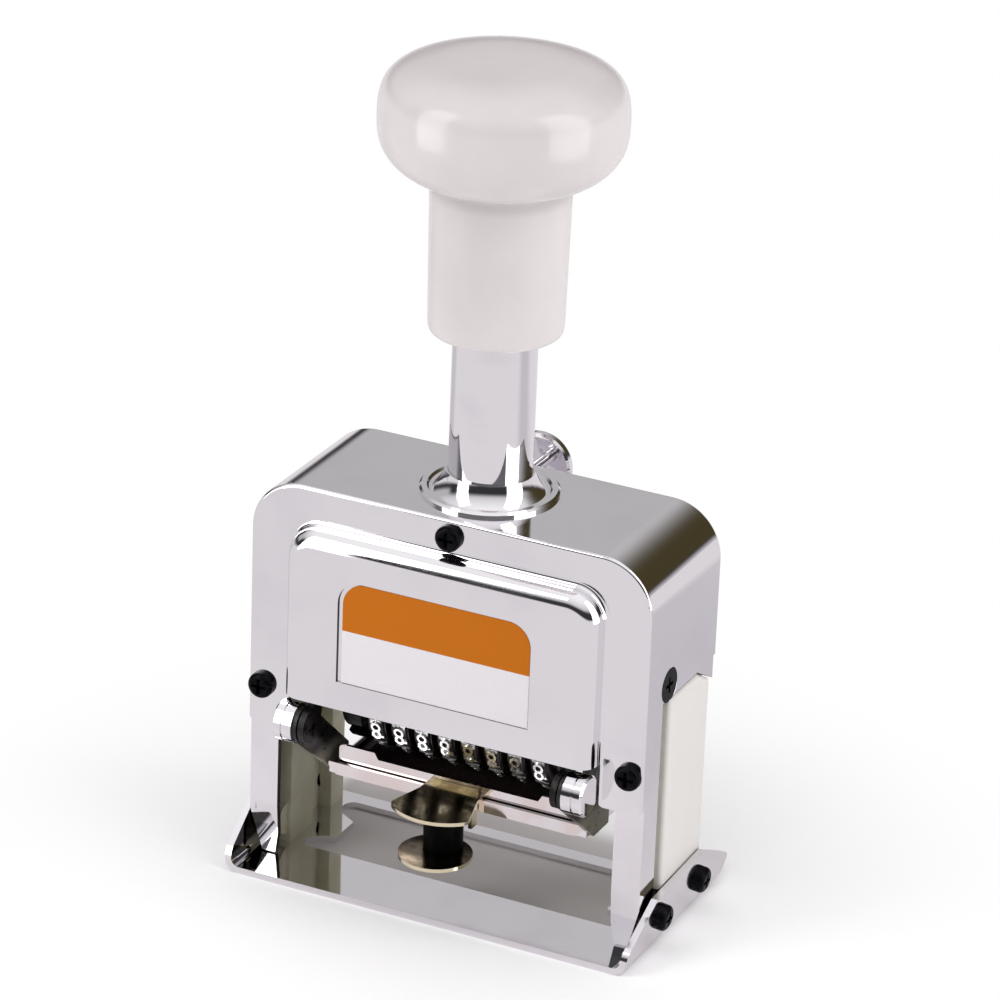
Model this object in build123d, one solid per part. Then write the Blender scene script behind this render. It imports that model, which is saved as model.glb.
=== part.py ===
from build123d import *
import os
from math import cos, radians, sin, sqrt, tan

# Hand numbering machine: a press-down stamp with eight number wheels in a chromed case,
# and an ink pad on a cradle that swings out of the way as the plunger comes down.
# Millimetres. +Z is up and the front of the machine looks along -Y.
# The origin lies on the plunger's axis, on the underside of the base.
# Across the machine the sizes build up from the wheels outward: wheels, pawl, dial,
# carriage, cradle, covers, guides, case, base.

# ---- Fits ---------------------------------------------------------------------------
running_fit = 0.05
body_gap = 0.3

# ---- Number wheels ------------------------------------------------------------------
wheel_count = 8
wheel_pitch = 4.75
wheel_gap = 0.2
wheel_width = wheel_pitch - wheel_gap
wheel_radius = 9.5
wheel_body_radius = 8.7
axle_height = 32.3
axle_radius = 2.0
digits = 10
type_width = 2.7
type_breadth = 4.4
type_root = 1.0
type_face_width = 3.5
ratchet_radius = 8.0
ratchet_step = 1.1
ratchet_middle = type_face_width / 2
stack_half = wheel_count * wheel_pitch / 2

# ---- Pawl, detent and dial ----------------------------------------------------------
pawl_arm_sheet = 0.9
pawl_inner = stack_half + body_gap
pawl_outer = pawl_inner + pawl_arm_sheet
pawl_boss_radius = 4.2
pawl_bar_radius = 11.2
pawl_bar_thickness = 1.6
pawl_bar_height = 5.0
pawl_rest_angle = 40.0
finger_width = 0.7
finger_height = 2.0
finger_clearance = 0.3
detent_sheet = 0.8
detent_height = 4.0
dial_inner = pawl_outer + body_gap
dial_width = 3.2
dial_outer = dial_inner + dial_width
dial_radius = 8.6
dial_teeth = 12
dial_tooth_depth = 1.2
dial_tooth_width = 2.2

# ---- Carriage -----------------------------------------------------------------------
carriage_sheet = 1.2
carriage_inner = dial_outer + body_gap
carriage_outer = carriage_inner + carriage_sheet
carriage_half_depth = 8.2
carriage_foot_radius = 7.0
carriage_window_width = 6.6
carriage_window_height = 6.4
carriage_window_rise = 7.7
carriage_window_middle = axle_height + carriage_window_rise
carriage_window_radius = 2.0
crosshead_rise = 19.7
crosshead_bottom = axle_height + crosshead_rise
crosshead_height = 4.0
carriage_overlap = 2.0
carriage_shoulder = crosshead_bottom - carriage_overlap
crosshead_top = crosshead_bottom + crosshead_height
crosshead_round = 1.0
carriage_top = crosshead_top + carriage_overlap
tie_radius = 1.6
tie_rise = 13.2
tie_height = axle_height + tie_rise
tie_front = -5.6
tube_wall = 1.4
axle_head_radius = 2.8
axle_head = 0.7
plunger_travel = axle_height - wheel_radius

# ---- Ink cradle ---------------------------------------------------------------------
cradle_room = 1.2
arm_inner = carriage_outer + cradle_room
arm_sheet = 0.9
arm_outer = arm_inner + arm_sheet
arm_boss_radius = 3.5
arm_knee = -7.8
arm_back = -1.5
arm_foot_height = 3.0
bracket_sheet = 1.2
bracket_outer = arm_inner - body_gap
bracket_inner = bracket_outer - bracket_sheet
bracket_radius = 3.4
bracket_foot_width = 5.0
stud_radius = 1.6
disc_radius = 3.9
disc_inner_rim = 1.9
disc_outer_rim = 1.8
disc_groove = 0.3
disc_groove_radius = 3.3
disc_chamfer = 0.4
disc_bore_depth = 2.6
disc_outer = arm_outer + disc_inner_rim + disc_groove + disc_outer_rim

# ---- Covers -------------------------------------------------------------------------
cover_sheet = 1.2
cover_tab_inner = disc_outer + body_gap
cover_tab_radius = 0.8
pivot_rise = 0.7
pivot_height = axle_height + pivot_rise
cover_tab_drop = 3.5
cover_tab_bottom = pivot_height - cover_tab_drop
panel_half_width = cover_tab_inner - body_gap
disc_headroom = 1.1
panel_bottom = pivot_height + disc_radius + disc_headroom
panel_depth = 4.4
panel_corner = 6.0
panel_edge = 0.75
panel_root = 0.2
back_panel_depth = 1.5

# ---- Side guides, from the wheels outward -------------------------------------------
guide_step = 3.5
guide_inner = panel_half_width + guide_step
groove_depth = 2.6
guide_floor = guide_inner + groove_depth
guide_web = 1.2
guide_outer = guide_floor + guide_web

# ---- Case ---------------------------------------------------------------------------
shell_wall = 1.2
shell_fit = 0.2
case_half = guide_outer + shell_fit + shell_wall
case_top = 78.5
case_front = -14.7
case_back = 13.2
case_corner = 10.0
flange_lap = 0.5
flange_inner = guide_inner - flange_lap
flange_width = case_half - flange_inner
leg_start_drop = 0.5
leg_start = cover_tab_bottom - leg_start_drop
leg_depth = 5.9
leg_back = case_front + leg_depth
leg_return_bottom = 10.2
leg_bend_height = 12.0
leg_bend_step = 0.9
leg_taper_outer = 10.0
leg_taper_inner = 6.0
leg_foot_inset = 2.3
leg_foot_outer = case_half - leg_foot_inset
leg_foot_chamfer = 0.7
leg_foot_inner = flange_inner + leg_foot_chamfer
window_height = 20.1
window_top = leg_start + window_height
panel_margin = 6.8
panel_top = case_top - panel_margin
bracket_drop = 11.7
bracket_top = panel_top - bracket_drop
pivot_lead = 0.4
pivot_front = case_front - panel_depth - pivot_lead

# ---- Label --------------------------------------------------------------------------
label_side_margin = 12.4
label_half = panel_half_width - label_side_margin
label_bottom_margin = 5.6
label_bottom = panel_bottom + label_bottom_margin
label_top_margin = 7.7
label_top = panel_top - label_top_margin
label_corner = 4.6
label_recess = 0.4
label_thickness = 0.3
label_fit = 0.1
label_spare = 0.9

# ---- Guides: heights and depths -----------------------------------------------------
guide_setback = 0.6
guide_front = leg_back + guide_setback
guide_back = case_back - shell_fit
guide_back_upper = case_back - shell_wall - body_gap
guide_drop = 12.5
guide_top = case_top - guide_drop
groove_middle = 4.3
groove_width = 7.4
guide_boss_radius = 3.2
guide_boss_inset = 0.8
guide_panel_stand_out = 0.5
guide_panel_outer = case_half + guide_panel_stand_out
guide_panel_bottom = 10.4
guide_panel_top = window_top - body_gap
guide_panel_setback = 2.5
guide_panel_front = leg_back + guide_panel_setback
guide_panel_back_margin = 2.0
guide_panel_back = case_back - guide_panel_back_margin
guide_chamfer_start = 6.0
guide_chamfer_slope = 0.56
guide_panel_round = 1.0
shoe_height = 10.0
shoe_clearance = 0.25
shoe_round = 1.2

# ---- Base ---------------------------------------------------------------------------
base_sheet = 1.3
base_front_reach = 7.3
base_front = case_front - base_front_reach
base_back_reach = 2.3
base_back = case_back + base_back_reach
base_side_reach = 0.9
base_half_width = case_half + base_side_reach
base_bend = 1.5
leg_foot_gap = 0.3
ear_lean = 6.0
ear_front_height = 4.0
ear_front_radius = 3.0
ear_front_run = 11.0
ear_top_front = base_front + ear_front_run
ear_top_front_height = 11.0
ear_back_run = 6.1
ear_top_back = base_back - ear_back_run
ear_height = 11.8
ear_tail_reach = 7.1
ear_tail = base_back + ear_tail_reach
ear_tail_height = 5.2
ear_tail_radius = 1.2
ear_heel_reach = 4.9
ear_heel = base_back + ear_heel_reach
ear_heel_height = 2.4
opening_margin = 1.8
opening_half_width = guide_inner - opening_margin
opening_front = -8.0
opening_back = 12.2
opening_corner = 2.0
tongue_margin = 0.9
tongue_reach = arm_outer + tongue_margin
tongue_front = -3.0
tongue_back = 4.8
tongue_root_front = -5.5
tongue_root_back = 8.8
tongue_knee = 0.8

# ---- Collar and stem ----------------------------------------------------------------
stem_radius = 7.7
stem_wall = 1.4
stem_roof = 4.2
collar_spigot_wall = 2.7
collar_spigot_radius = stem_radius + collar_spigot_wall
collar_spigot_depth = 3.4
collar_rim_width = 2.4
collar_radius = collar_spigot_radius + collar_rim_width
collar_flange = 0.9
collar_edge = 0.4
collar_ledge = 1.0
collar_ledge_radius = collar_spigot_radius + collar_ledge
collar_neck_wall = 0.5
collar_neck_radius = stem_radius + collar_neck_wall
collar_height = 4.2
nut_wall = 1.8
nut_radius = collar_spigot_radius + nut_wall
nut_height = 2.1
stem_screw_radius = 2.5
stem_screw_head_radius = 4.9
stem_screw_head = 2.4
stem_screw_slot = 1.2
stem_screw_grip = 2.8
stem_plug_height = 6.0

# ---- Handle -------------------------------------------------------------------------
handle_gap = 4.3
handle_bottom = case_top + collar_height + plunger_travel + handle_gap
handle_bore_depth = 24.0
handle_chamfer = 0.8
neck_bottom_wall = 4.6
neck_bottom_radius = stem_radius + neck_bottom_wall
neck_top_wall = 5.0
neck_top_radius = stem_radius + neck_top_wall
neck_length = 27.0
neck_top = handle_bottom + neck_length
knob_under_radius = 18.6
knob_under_rise = 4.4
knob_under_height = neck_top + knob_under_rise
knob_radius = 22.4
knob_widest_rise = 10.2
knob_widest = neck_top + knob_widest_rise
knob_shoulder_radius = 20.8
knob_shoulder_rise = 8.5
knob_shoulder_height = knob_widest + knob_shoulder_rise
knob_flat_radius = 15.0
knob_crown = 4.5
knob_top = knob_shoulder_height + knob_crown

# ---- Return springs -----------------------------------------------------------------
spring_inset = 6.4
spring_offset = carriage_inner - spring_inset
spring_radius = 2.6
spring_wire = 0.45
spring_turns = 7
spring_seat_gap = 0.3
anchor_thickness = 1.5
anchor_depth = 10.0
anchor_width = 9.0
anchor_round = 1.5

# ---- Ink pad, tray and carrier, from the wheels downward ----------------------------
pad_top = axle_height - wheel_radius - body_gap
pad_thickness = 1.3
pad_margin = 2.0
pad_half_width = stack_half + pad_margin
pad_front = -7.6
pad_back = 6.0
pad_round = 1.0
tray_sheet = 0.7
tray_floor = pad_top - pad_thickness - tray_sheet
tray_side_room = 1.9
tray_half_width = arm_inner - tray_side_room
tray_front = -9.0
tray_wall_drop = 0.5
tray_wall_height = pad_top - tray_wall_drop
tray_lip_rise = 2.3
tray_lip_height = pad_top + tray_lip_rise
tray_lip_mid_rise = 1.0
tray_lip_mid_height = pad_top + tray_lip_mid_rise
tray_lip_end = 7.3
tray_lip_mid_half = tray_half_width - tray_lip_end
tray_lip_step = 0.8
apron_lead = 1.1
apron_front = tray_front - apron_lead
apron_half_width = arm_inner - body_gap
apron_top_drop = 1.1
apron_top = pad_top - apron_top_drop
apron_drop = 2.4
apron_corner = 1.6
carrier_sheet = 1.5
carrier_top = tray_floor - body_gap
carrier_bottom = carrier_top - carrier_sheet
carrier_lead = 0.1
carrier_front = tray_front - carrier_lead
carrier_back = 7.0
carrier_corner = 1.6
carrier_slot_half = tray_half_width / 2
carrier_slot_margin = 4.5
carrier_slot_radius = 2.0

# ---- Brass pull of the ink tray -----------------------------------------------------
pull_sheet = 0.7
pull_reach = 2.2
pull_front = base_front - pull_reach
pull_lift = 0.2
pull_height = apron_top + pull_lift
pull_root_half = 5.8
pull_root_front = -12.5
pull_half_width = 8.0
pull_shoulder = -20.5
pull_corner = 2.0
pull_foot_half = 4.6
cheek_inner = 4.2
cheek_drop = 5.2
cheek_front = -12.6
cheek_back = apron_front - body_gap
post_radius = 3.7
post_front = -14.2
lower_pull_height = 11.9
lower_pull_radius = 6.9

# ---- Lock knob ----------------------------------------------------------------------
lock_pin_radius = 1.1
lock_bush_radius = 1.7
lock_bush_length = 1.3
lock_bush_stand_out = 0.6
lock_height = case_top - shell_wall - lock_bush_radius
lock_pin_tip = 11.2
lock_press = 12.0
lock_radius = 6.3
lock_knob_gap = 7.1
lock_knob_front = case_back + lock_knob_gap
lock_knob_rim = 1.6
lock_knob_chamfer = 0.4
lock_knob_reach = 11.0
lock_knob_back = case_back + lock_knob_reach

# ---- Screws -------------------------------------------------------------------------
screw_head_radius = 2.5
screw_head_height = 1.7
screw_clearance = 0.35
screw_shank_radius = 1.25
screw_shank_length = 4.0
screw_recess = 0.9
cross_length = 3.0
cross_width = 0.7
flat_head_radius = 3.3
flat_head_fit = 0.1
cover_screw_inset = 2.8
cover_screw_side = case_half - cover_screw_inset
cover_screw_rise = 7.5
cover_screw_height = cover_tab_bottom + cover_screw_rise
cover_screw_drop = 3.3
cover_screw_top = case_top - cover_screw_drop
back_edge_screw_inset = 3.5
back_edge_screw_side = case_half - back_edge_screw_inset
back_screw_inset = 16.0
back_screw_side = case_half - back_screw_inset
back_screw_rise = 4.9
back_screw_height = window_top + back_screw_rise
side_screw_front = guide_panel_front
side_screw_rise = 2.7
side_screw_height = window_top + side_screw_rise
ear_screw_front = -8.0
ear_screw_back = 8.8
ear_screw_height = 6.1
spacer_radius = 2.9


# ---- Small helpers ------------------------------------------------------------------
def front_plane(y):
    """Plane that looks at the machine from the front: local x is X, local y is Z."""
    return Plane(origin=(0, y, 0), x_dir=(1, 0, 0), z_dir=(0, -1, 0))


def side_plane(x):
    """Plane across the machine: local x is Y, local y is Z."""
    return Plane(origin=(x, 0, 0), x_dir=(0, 1, 0), z_dir=(1, 0, 0))


def along_y(face, start, end):
    """Prism of a front-view face from y=start to y=end."""
    return extrude(front_plane(start) * face, amount=start - end)


def along_x(face, start, end):
    """Prism of a side-view face from x=start to x=end."""
    return extrude(side_plane(start) * face, amount=end - start)


def along_z(face, start, end):
    """Prism of a plan-view face from z=start to z=end."""
    return extrude(Pos(0, 0, start) * face, amount=end - start)


def outline(*points):
    """Face inside a closed run of straight lines."""
    return make_face(Polyline(*points, close=True))


def block(x0, x1, y0, y1, z0, z1):
    """Box between two corners."""
    size = Box(x1 - x0, y1 - y0, z1 - z0, align=(Align.MIN, Align.MIN, Align.MIN))
    return Pos(x0, y0, z0) * size


def rod_x(radius, x0, x1, y, z):
    """Round rod along X."""
    return along_x(Pos(y, z) * Circle(radius), x0, x1)


def rod_y(radius, y0, y1, x, z):
    """Round rod along Y."""
    return along_y(Pos(x, z) * Circle(radius), y0, y1)


def rod_z(radius, z0, z1, x=0.0, y=0.0):
    """Round rod along Z."""
    return along_z(Pos(x, y) * Circle(radius), z0, z1)


def other_side(part):
    """Mirror image in the machine's middle plane x=0."""
    return mirror(part, about=Plane.YZ)


def both_sides(part):
    """A part together with its mirror image in x=0."""
    return part + other_side(part)


def rounded(face, radius, choose):
    """Face with a fillet at each vertex that choose(vertex) picks."""
    return fillet([v for v in face.vertices() if choose(v)], radius)


def wheel_position(index):
    """X of the middle of number wheel 0, 1, 2 ..."""
    return (index - (wheel_count - 1) / 2) * wheel_pitch


# ---- Shell and covers ---------------------------------------------------------------
def case_outline(inset, bottom):
    """Front view of the case: an upright slab with two rounded top corners."""
    half = case_half - inset
    top = case_top - inset
    face = outline((-half, bottom), (half, bottom), (half, top), (-half, top))
    return rounded(face, case_corner - inset, lambda v: v.Y > top - 0.1)


def chamfer_height(y, gap):
    """Height of the side panel's rear chamfer, moved outward by a gap."""
    drop = (y - guide_chamfer_start) * guide_chamfer_slope
    return guide_panel_top - drop + gap * sqrt(1 + guide_chamfer_slope**2)


def side_panel_outline(front, back, bottom, gap):
    """Side view of the guide's outer panel; with a gap, of the case's window round it."""
    top = guide_panel_top + gap
    chamfer_start = back - (top - chamfer_height(back, gap)) / guide_chamfer_slope
    return outline((front, bottom), (back, bottom), (back, chamfer_height(back, gap)),
                   (chamfer_start, top), (front, top))


def leg():
    """Right front leg: an angle that narrows down to its foot."""
    foot = base_sheet + leg_foot_gap
    front_view = outline(
        (flange_inner, leg_start), (case_half, leg_start), (case_half, leg_taper_outer),
        (leg_foot_outer, foot), (leg_foot_inner, foot), (flange_inner, leg_taper_inner))
    foot_front = case_front + leg_bend_step
    side_view = outline(
        (case_front, leg_start), (case_front, leg_bend_height), (foot_front, foot),
        (foot_front + shell_wall, foot), (case_front + shell_wall, leg_bend_height),
        (case_front + shell_wall, leg_start))
    sheet = along_y(front_view, case_front, leg_back)
    sheet &= along_x(side_view, flange_inner, case_half)
    side = block(case_half - shell_wall, case_half, case_front, leg_back,
                 leg_return_bottom, leg_start)
    return sheet + side


def body_shell():
    hoop_face = case_outline(0, leg_start) - case_outline(shell_wall, leg_start)
    flange_face = case_outline(0, leg_start) - case_outline(flange_width, leg_start)
    shell = along_y(hoop_face, case_front, case_back)
    shell += along_y(flange_face, case_front, case_front + shell_wall)
    shell += along_y(flange_face, case_back - shell_wall, case_back)
    shell -= along_x(side_panel_outline(leg_back, case_back, leg_start, body_gap),
                     -case_half, case_half)
    shell += both_sides(leg())
    shell -= rod_z(collar_spigot_radius + running_fit, crosshead_bottom, case_top)
    shell -= rod_y(lock_bush_radius, case_back - shell_wall, case_back, 0, lock_height)
    return shell - screw_holes("front") - screw_holes("back") - screw_holes("side")


def front_cover_outline():
    """Front sheet: the case's outline with a side tab below each end of the panel."""
    face = case_outline(0, cover_tab_bottom)
    face -= outline((-cover_tab_inner, 0), (cover_tab_inner, 0),
                    (cover_tab_inner, panel_bottom), (-cover_tab_inner, panel_bottom))
    return rounded(face, cover_tab_radius, lambda v: v.Y < cover_tab_bottom + 0.1)


def back_cover_outline():
    """Rear sheet: as wide as the case above the side windows, then between the guides."""
    face = case_outline(0, window_top)
    face += outline((-guide_inner, panel_bottom), (guide_inner, panel_bottom),
                    (guide_inner, case_top - case_corner), (-guide_inner, case_top - case_corner))
    return rounded(face, cover_tab_radius, lambda v: v.Y < window_top + 0.1)


def pressed_panel(depth, back, inset):
    """Raised panel of a cover as a solid cushion, before its lower end is cut off."""
    width = 2 * (panel_half_width - inset)
    top = panel_top - inset
    low = panel_bottom - 3 * panel_corner
    face = Pos(0, (top + low) / 2) * RectangleRounded(width, top - low, panel_corner - inset)
    cushion = along_y(face, back - depth, back)
    return fillet(cushion.faces().sort_by(Axis.Y)[0].edges(), panel_edge * depth - inset / 2)


def pressed_cover(face, depth):
    """Cover sheet with a raised panel, at the case's front and trimmed to an outline."""
    front = case_front - cover_sheet
    low = panel_bottom - 4 * panel_corner
    cover = along_y(case_outline(0, low), front, case_front)
    cover = fillet(cover.faces().sort_by(Axis.Y)[0].edges(), cover_sheet / 2)
    cover += pressed_panel(depth, front, 0)
    root = [edge for edge in cover.edges()
            if abs(edge.center().Y - front) < 0.01 and abs(edge.center().X) < cover_screw_side]
    cover = fillet(root, panel_root * depth)
    cover -= pressed_panel(depth, case_front, cover_sheet)
    return cover & along_y(face, front - depth, case_front)


def label_outline(inset, spare):
    """Front view of the label; spare lengthens it at its left end."""
    half = label_half - inset
    bottom = label_bottom + inset
    top = label_top - inset
    face = outline((-half - spare, bottom), (half, bottom), (half, top), (-half - spare, top))
    return rounded(face, label_corner, lambda v: v.Y > top - 0.1)


def front_cover():
    """Front cover, with the pocket for the label in its raised panel."""
    cover = pressed_cover(front_cover_outline(), panel_depth)
    face = case_front - cover_sheet - panel_depth
    cover -= along_y(label_outline(0, label_spare), face, face + label_recess)
    return cover - screw_holes("front")


def back_cover():
    """Rear cover: its panel is shallow, and the lock pin's bush goes through its margin."""
    cover = mirror(pressed_cover(back_cover_outline(), back_panel_depth), about=Plane.XZ)
    cover = Pos(0, case_back + case_front, 0) * cover
    cover -= rod_y(lock_bush_radius, case_back, case_back + cover_sheet, 0, lock_height)
    return cover - screw_holes("back")


def label_plate():
    seat = case_front - cover_sheet - panel_depth + label_recess
    return along_y(label_outline(label_fit, 0), seat - label_thickness, seat)


# ---- Base ---------------------------------------------------------------------------
def ear_slope(height):
    """How far an ear leans out at a height."""
    return height * tan(radians(ear_lean))


def folded_section():
    """Front view of the folded sheet: flat floor with an ear that leans out at each end."""
    outer = base_half_width
    slant = base_sheet / cos(radians(ear_lean))
    top = ear_height
    face = outline(
        (-outer, 0), (outer, 0), (outer + ear_slope(top), top),
        (outer + ear_slope(top) - slant, top),
        (outer + ear_slope(base_sheet) - slant, base_sheet),
        (slant - outer - ear_slope(base_sheet), base_sheet),
        (slant - outer - ear_slope(top), top), (-outer - ear_slope(top), top))
    face = rounded(face, base_bend + base_sheet, lambda v: v.Y < 0.1)
    return rounded(face, base_bend, lambda v: abs(v.Y - base_sheet) < 0.1)


def ear_outline():
    """Side view of an ear, with the edge of the floor below it."""
    face = outline(
        (base_front, 0), (base_front, ear_front_height), (ear_top_front, ear_top_front_height),
        (ear_top_back, ear_height), (ear_tail, ear_tail_height), (ear_heel, ear_heel_height),
        (base_back, 0))
    face = rounded(face, ear_front_radius, lambda v: v.X < base_front + 0.1 and v.Y > 0.1)
    return rounded(face, ear_tail_radius,
                   lambda v: v.X > base_back + 0.1 and v.Y > ear_heel_height + 0.1)


def base_plate():
    sheet = along_y(folded_section(), base_front, ear_tail)
    reach = base_half_width + ear_height
    sheet &= along_x(ear_outline(), -reach, reach)
    floor_half = base_half_width - base_bend - base_sheet
    sheet -= block(-floor_half, floor_half, base_back, ear_tail, 0, base_sheet)
    opening = Pos(0, (opening_front + opening_back) / 2) * RectangleRounded(
        2 * opening_half_width, opening_back - opening_front, opening_corner)
    sheet -= along_z(opening, 0, base_sheet)
    tongue = along_z(outline(
        (opening_half_width, tongue_root_front), (tongue_reach + 3 * tongue_knee, tongue_front),
        (tongue_reach, tongue_front + tongue_knee), (tongue_reach, tongue_back),
        (opening_half_width - tongue_knee, tongue_root_back - 2 * tongue_knee),
        (opening_half_width, tongue_root_back)), 0, base_sheet)
    return sheet + both_sides(tongue) - screw_holes("ear")


# ---- Side guides --------------------------------------------------------------------
def side_guide():
    """Right side moulding: ribbed inner guide with a groove, and the outer panel."""
    foot_chamfer = base_bend / 2
    section = outline(
        (guide_inner, base_sheet), (guide_outer - foot_chamfer, base_sheet),
        (guide_outer, base_sheet + foot_chamfer), (guide_outer, guide_top),
        (guide_inner, guide_top))
    step = chamfer_height(case_back, 0)
    side_view = outline(
        (guide_front, base_sheet), (guide_back, base_sheet), (guide_back, step),
        (guide_back_upper, step), (guide_back_upper, guide_top), (guide_front, guide_top))
    guide = along_y(section, guide_front, guide_back)
    guide &= along_x(side_view, guide_inner, guide_outer)
    guide += rod_x(guide_boss_radius, guide_inner + guide_boss_inset, guide_outer,
                   ear_screw_front, ear_screw_height)
    guide -= block(guide_inner, guide_floor, groove_middle - groove_width / 2,
                   groove_middle + groove_width / 2, base_sheet, guide_top)
    panel = along_x(side_panel_outline(guide_panel_front, guide_panel_back,
                                       guide_panel_bottom, 0), guide_floor, guide_panel_outer)
    panel = fillet(panel.faces().sort_by(Axis.X)[-1].edges(), guide_panel_round)
    guide += panel
    return guide - screw_holes("ear") - screw_holes("side") - screw_holes("back")


# ---- Collar and stem ----------------------------------------------------------------
def collar():
    """Turned collar that guides the stem: rim, groove, hollowed cone and threaded spigot."""
    bore = stem_radius + running_fit
    seat = case_top
    rim_top = seat + collar_flange
    groove = seat + collar_edge
    neck_top = seat + collar_height
    edge = Polyline((bore, neck_top), (bore, seat - collar_spigot_depth),
                    (collar_spigot_radius, seat - collar_spigot_depth),
                    (collar_spigot_radius, seat), (collar_radius, seat),
                    (collar_radius, rim_top - collar_edge),
                    (collar_radius - collar_edge, rim_top), (collar_ledge_radius, rim_top),
                    (collar_ledge_radius - collar_edge, groove),
                    (collar_spigot_radius, groove))
    cone = TangentArc((collar_neck_radius, neck_top), (collar_spigot_radius, groove),
                      tangent=(0.2, -1))
    close = Line((collar_neck_radius, neck_top), (bore, neck_top))
    ring = revolve(Plane.XZ * make_face(Curve() + [edge, cone, close]), Axis.Z)
    return ring - lock_pin_hole(lock_height)


def lock_pin_hole(height):
    """Hole for the tip of the lock pin, from the plunger's axis to the rear."""
    return rod_y(lock_pin_radius + screw_clearance, 0, nut_radius, 0, height)


def collar_nut():
    top = case_top - shell_wall
    nut = along_z(RegularPolygon(nut_radius, 6), top - nut_height, top)
    nut -= rod_z(collar_spigot_radius, top - nut_height, top)
    return nut - lock_pin_hole(lock_height)


def stem():
    """Hollow plunger stem, from the crosshead up into the handle's bore."""
    top = handle_bottom + handle_bore_depth
    tube = rod_z(stem_radius, crosshead_top, top)
    tube -= rod_z(stem_radius - stem_wall, crosshead_top, top - stem_roof)
    return tube - lock_pin_hole(lock_height + lock_press)


def stem_screw():
    """Large screw from below that holds the stem on the crosshead."""
    shank = rod_z(stem_screw_radius, crosshead_bottom, crosshead_top + stem_screw_grip)
    foot = crosshead_bottom - stem_screw_head
    head = rod_z(stem_screw_head_radius, foot, crosshead_bottom)
    head = chamfer(head.faces().sort_by(Axis.Z)[0].edges(), stem_screw_head / 4)
    slot = block(-stem_screw_head_radius, stem_screw_head_radius, -stem_screw_slot / 2,
                 stem_screw_slot / 2, foot, foot + stem_screw_slot)
    return shank + head - slot


def stem_plug():
    """Tapped plug in the foot of the stem."""
    plug = rod_z(stem_radius - stem_wall, crosshead_top, crosshead_top + stem_plug_height)
    return plug - rod_z(stem_screw_radius, crosshead_top, crosshead_top + stem_screw_grip)


# ---- Handle -------------------------------------------------------------------------
def handle():
    """Moulded palm knob on a gently tapered neck, made of four tangent arcs."""
    widest = (knob_radius, knob_widest)
    under = (knob_under_radius, knob_under_height)
    shoulder = (knob_shoulder_radius, knob_shoulder_height)
    under_arc = TangentArc(widest, under, tangent=(0, -1))
    root_arc = TangentArc(under, (neck_top_radius, neck_top), tangent=under_arc % 1)
    side_arc = TangentArc(widest, shoulder, tangent=(0, 1))
    crown_arc = TangentArc(shoulder, (knob_flat_radius, knob_top), tangent=side_arc % 1)
    neck = Polyline((knob_flat_radius, knob_top), (0, knob_top), (0, handle_bottom),
                    (neck_bottom_radius - handle_chamfer, handle_bottom),
                    (neck_bottom_radius, handle_bottom + handle_chamfer),
                    (neck_top_radius, neck_top))
    profile = Curve() + [neck, root_arc, under_arc, side_arc, crown_arc]
    body = revolve(Plane.XZ * make_face(profile), Axis.Z)
    return body - rod_z(stem_radius, handle_bottom, handle_bottom + handle_bore_depth)


# ---- Wheel carriage -----------------------------------------------------------------
def number_wheel():
    """Wheel with ten raised type faces and a ten-step ratchet on its right side."""
    left = -wheel_width / 2
    right = wheel_width / 2
    face_end = left + type_face_width
    body = rod_x(wheel_body_radius, left, face_end, 0, 0)
    margin = (type_face_width - type_width) / 2
    type_top = sqrt(wheel_radius**2 - type_breadth**2 / 4)
    type_block = block(left + margin, face_end - margin, -type_breadth / 2, type_breadth / 2,
                       wheel_body_radius - type_root, type_top)
    inner = ratchet_radius - ratchet_step
    points = []
    for step in range(digits):
        turn = 360 / digits * step
        body += Rot(turn, 0, 0) * type_block
        angle = radians(turn)
        points.append((ratchet_radius * cos(angle), ratchet_radius * sin(angle)))
        points.append((inner * cos(angle), inner * sin(angle)))
    body += along_x(outline(*points), face_end, right)
    return body - rod_x(axle_radius + running_fit, left, right, 0, 0)


def carriage_plate():
    """Right side plate of the carriage: broad at the crosshead, round at the axle."""
    face = outline(
        (-carriage_half_depth, carriage_shoulder), (-carriage_foot_radius, axle_height),
        (carriage_foot_radius, axle_height), (carriage_half_depth, carriage_shoulder),
        (carriage_half_depth, carriage_top), (-carriage_half_depth, carriage_top))
    face += Pos(0, axle_height) * Circle(carriage_foot_radius)
    face -= Pos(0, carriage_window_middle) * RectangleRounded(
        carriage_window_width, carriage_window_height, carriage_window_radius)
    face -= Pos(0, axle_height) * Circle(axle_radius)
    for y in (tie_front, groove_middle):
        face -= Pos(y, tie_height) * Circle(tie_radius)
    return along_x(face, carriage_inner, carriage_outer)


def crosshead():
    """Bar across the carriage, pierced for the stem's screw."""
    bar = block(-carriage_inner, carriage_inner, -carriage_half_depth, carriage_half_depth,
                crosshead_bottom, crosshead_top)
    bar = fillet(bar.edges().filter_by(Axis.X), crosshead_round)
    return bar - rod_z(stem_screw_radius, crosshead_bottom, crosshead_top)


def wheel_axle():
    """Axle through wheels, dial and carriage plates, with a riveted head at each end."""
    head = rod_x(axle_head_radius, carriage_outer, carriage_outer + axle_head, 0, axle_height)
    return rod_x(axle_radius, -carriage_outer, carriage_outer, 0, axle_height) + both_sides(head)


def tie_rods():
    """Front tie rod between the plates, and a long rear one that carries the guide shoes."""
    shoe_end = guide_floor - shoe_clearance
    front = rod_x(tie_radius, -carriage_outer, carriage_outer, tie_front, tie_height)
    return front + rod_x(tie_radius, -shoe_end, shoe_end, groove_middle, tie_height)


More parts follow.
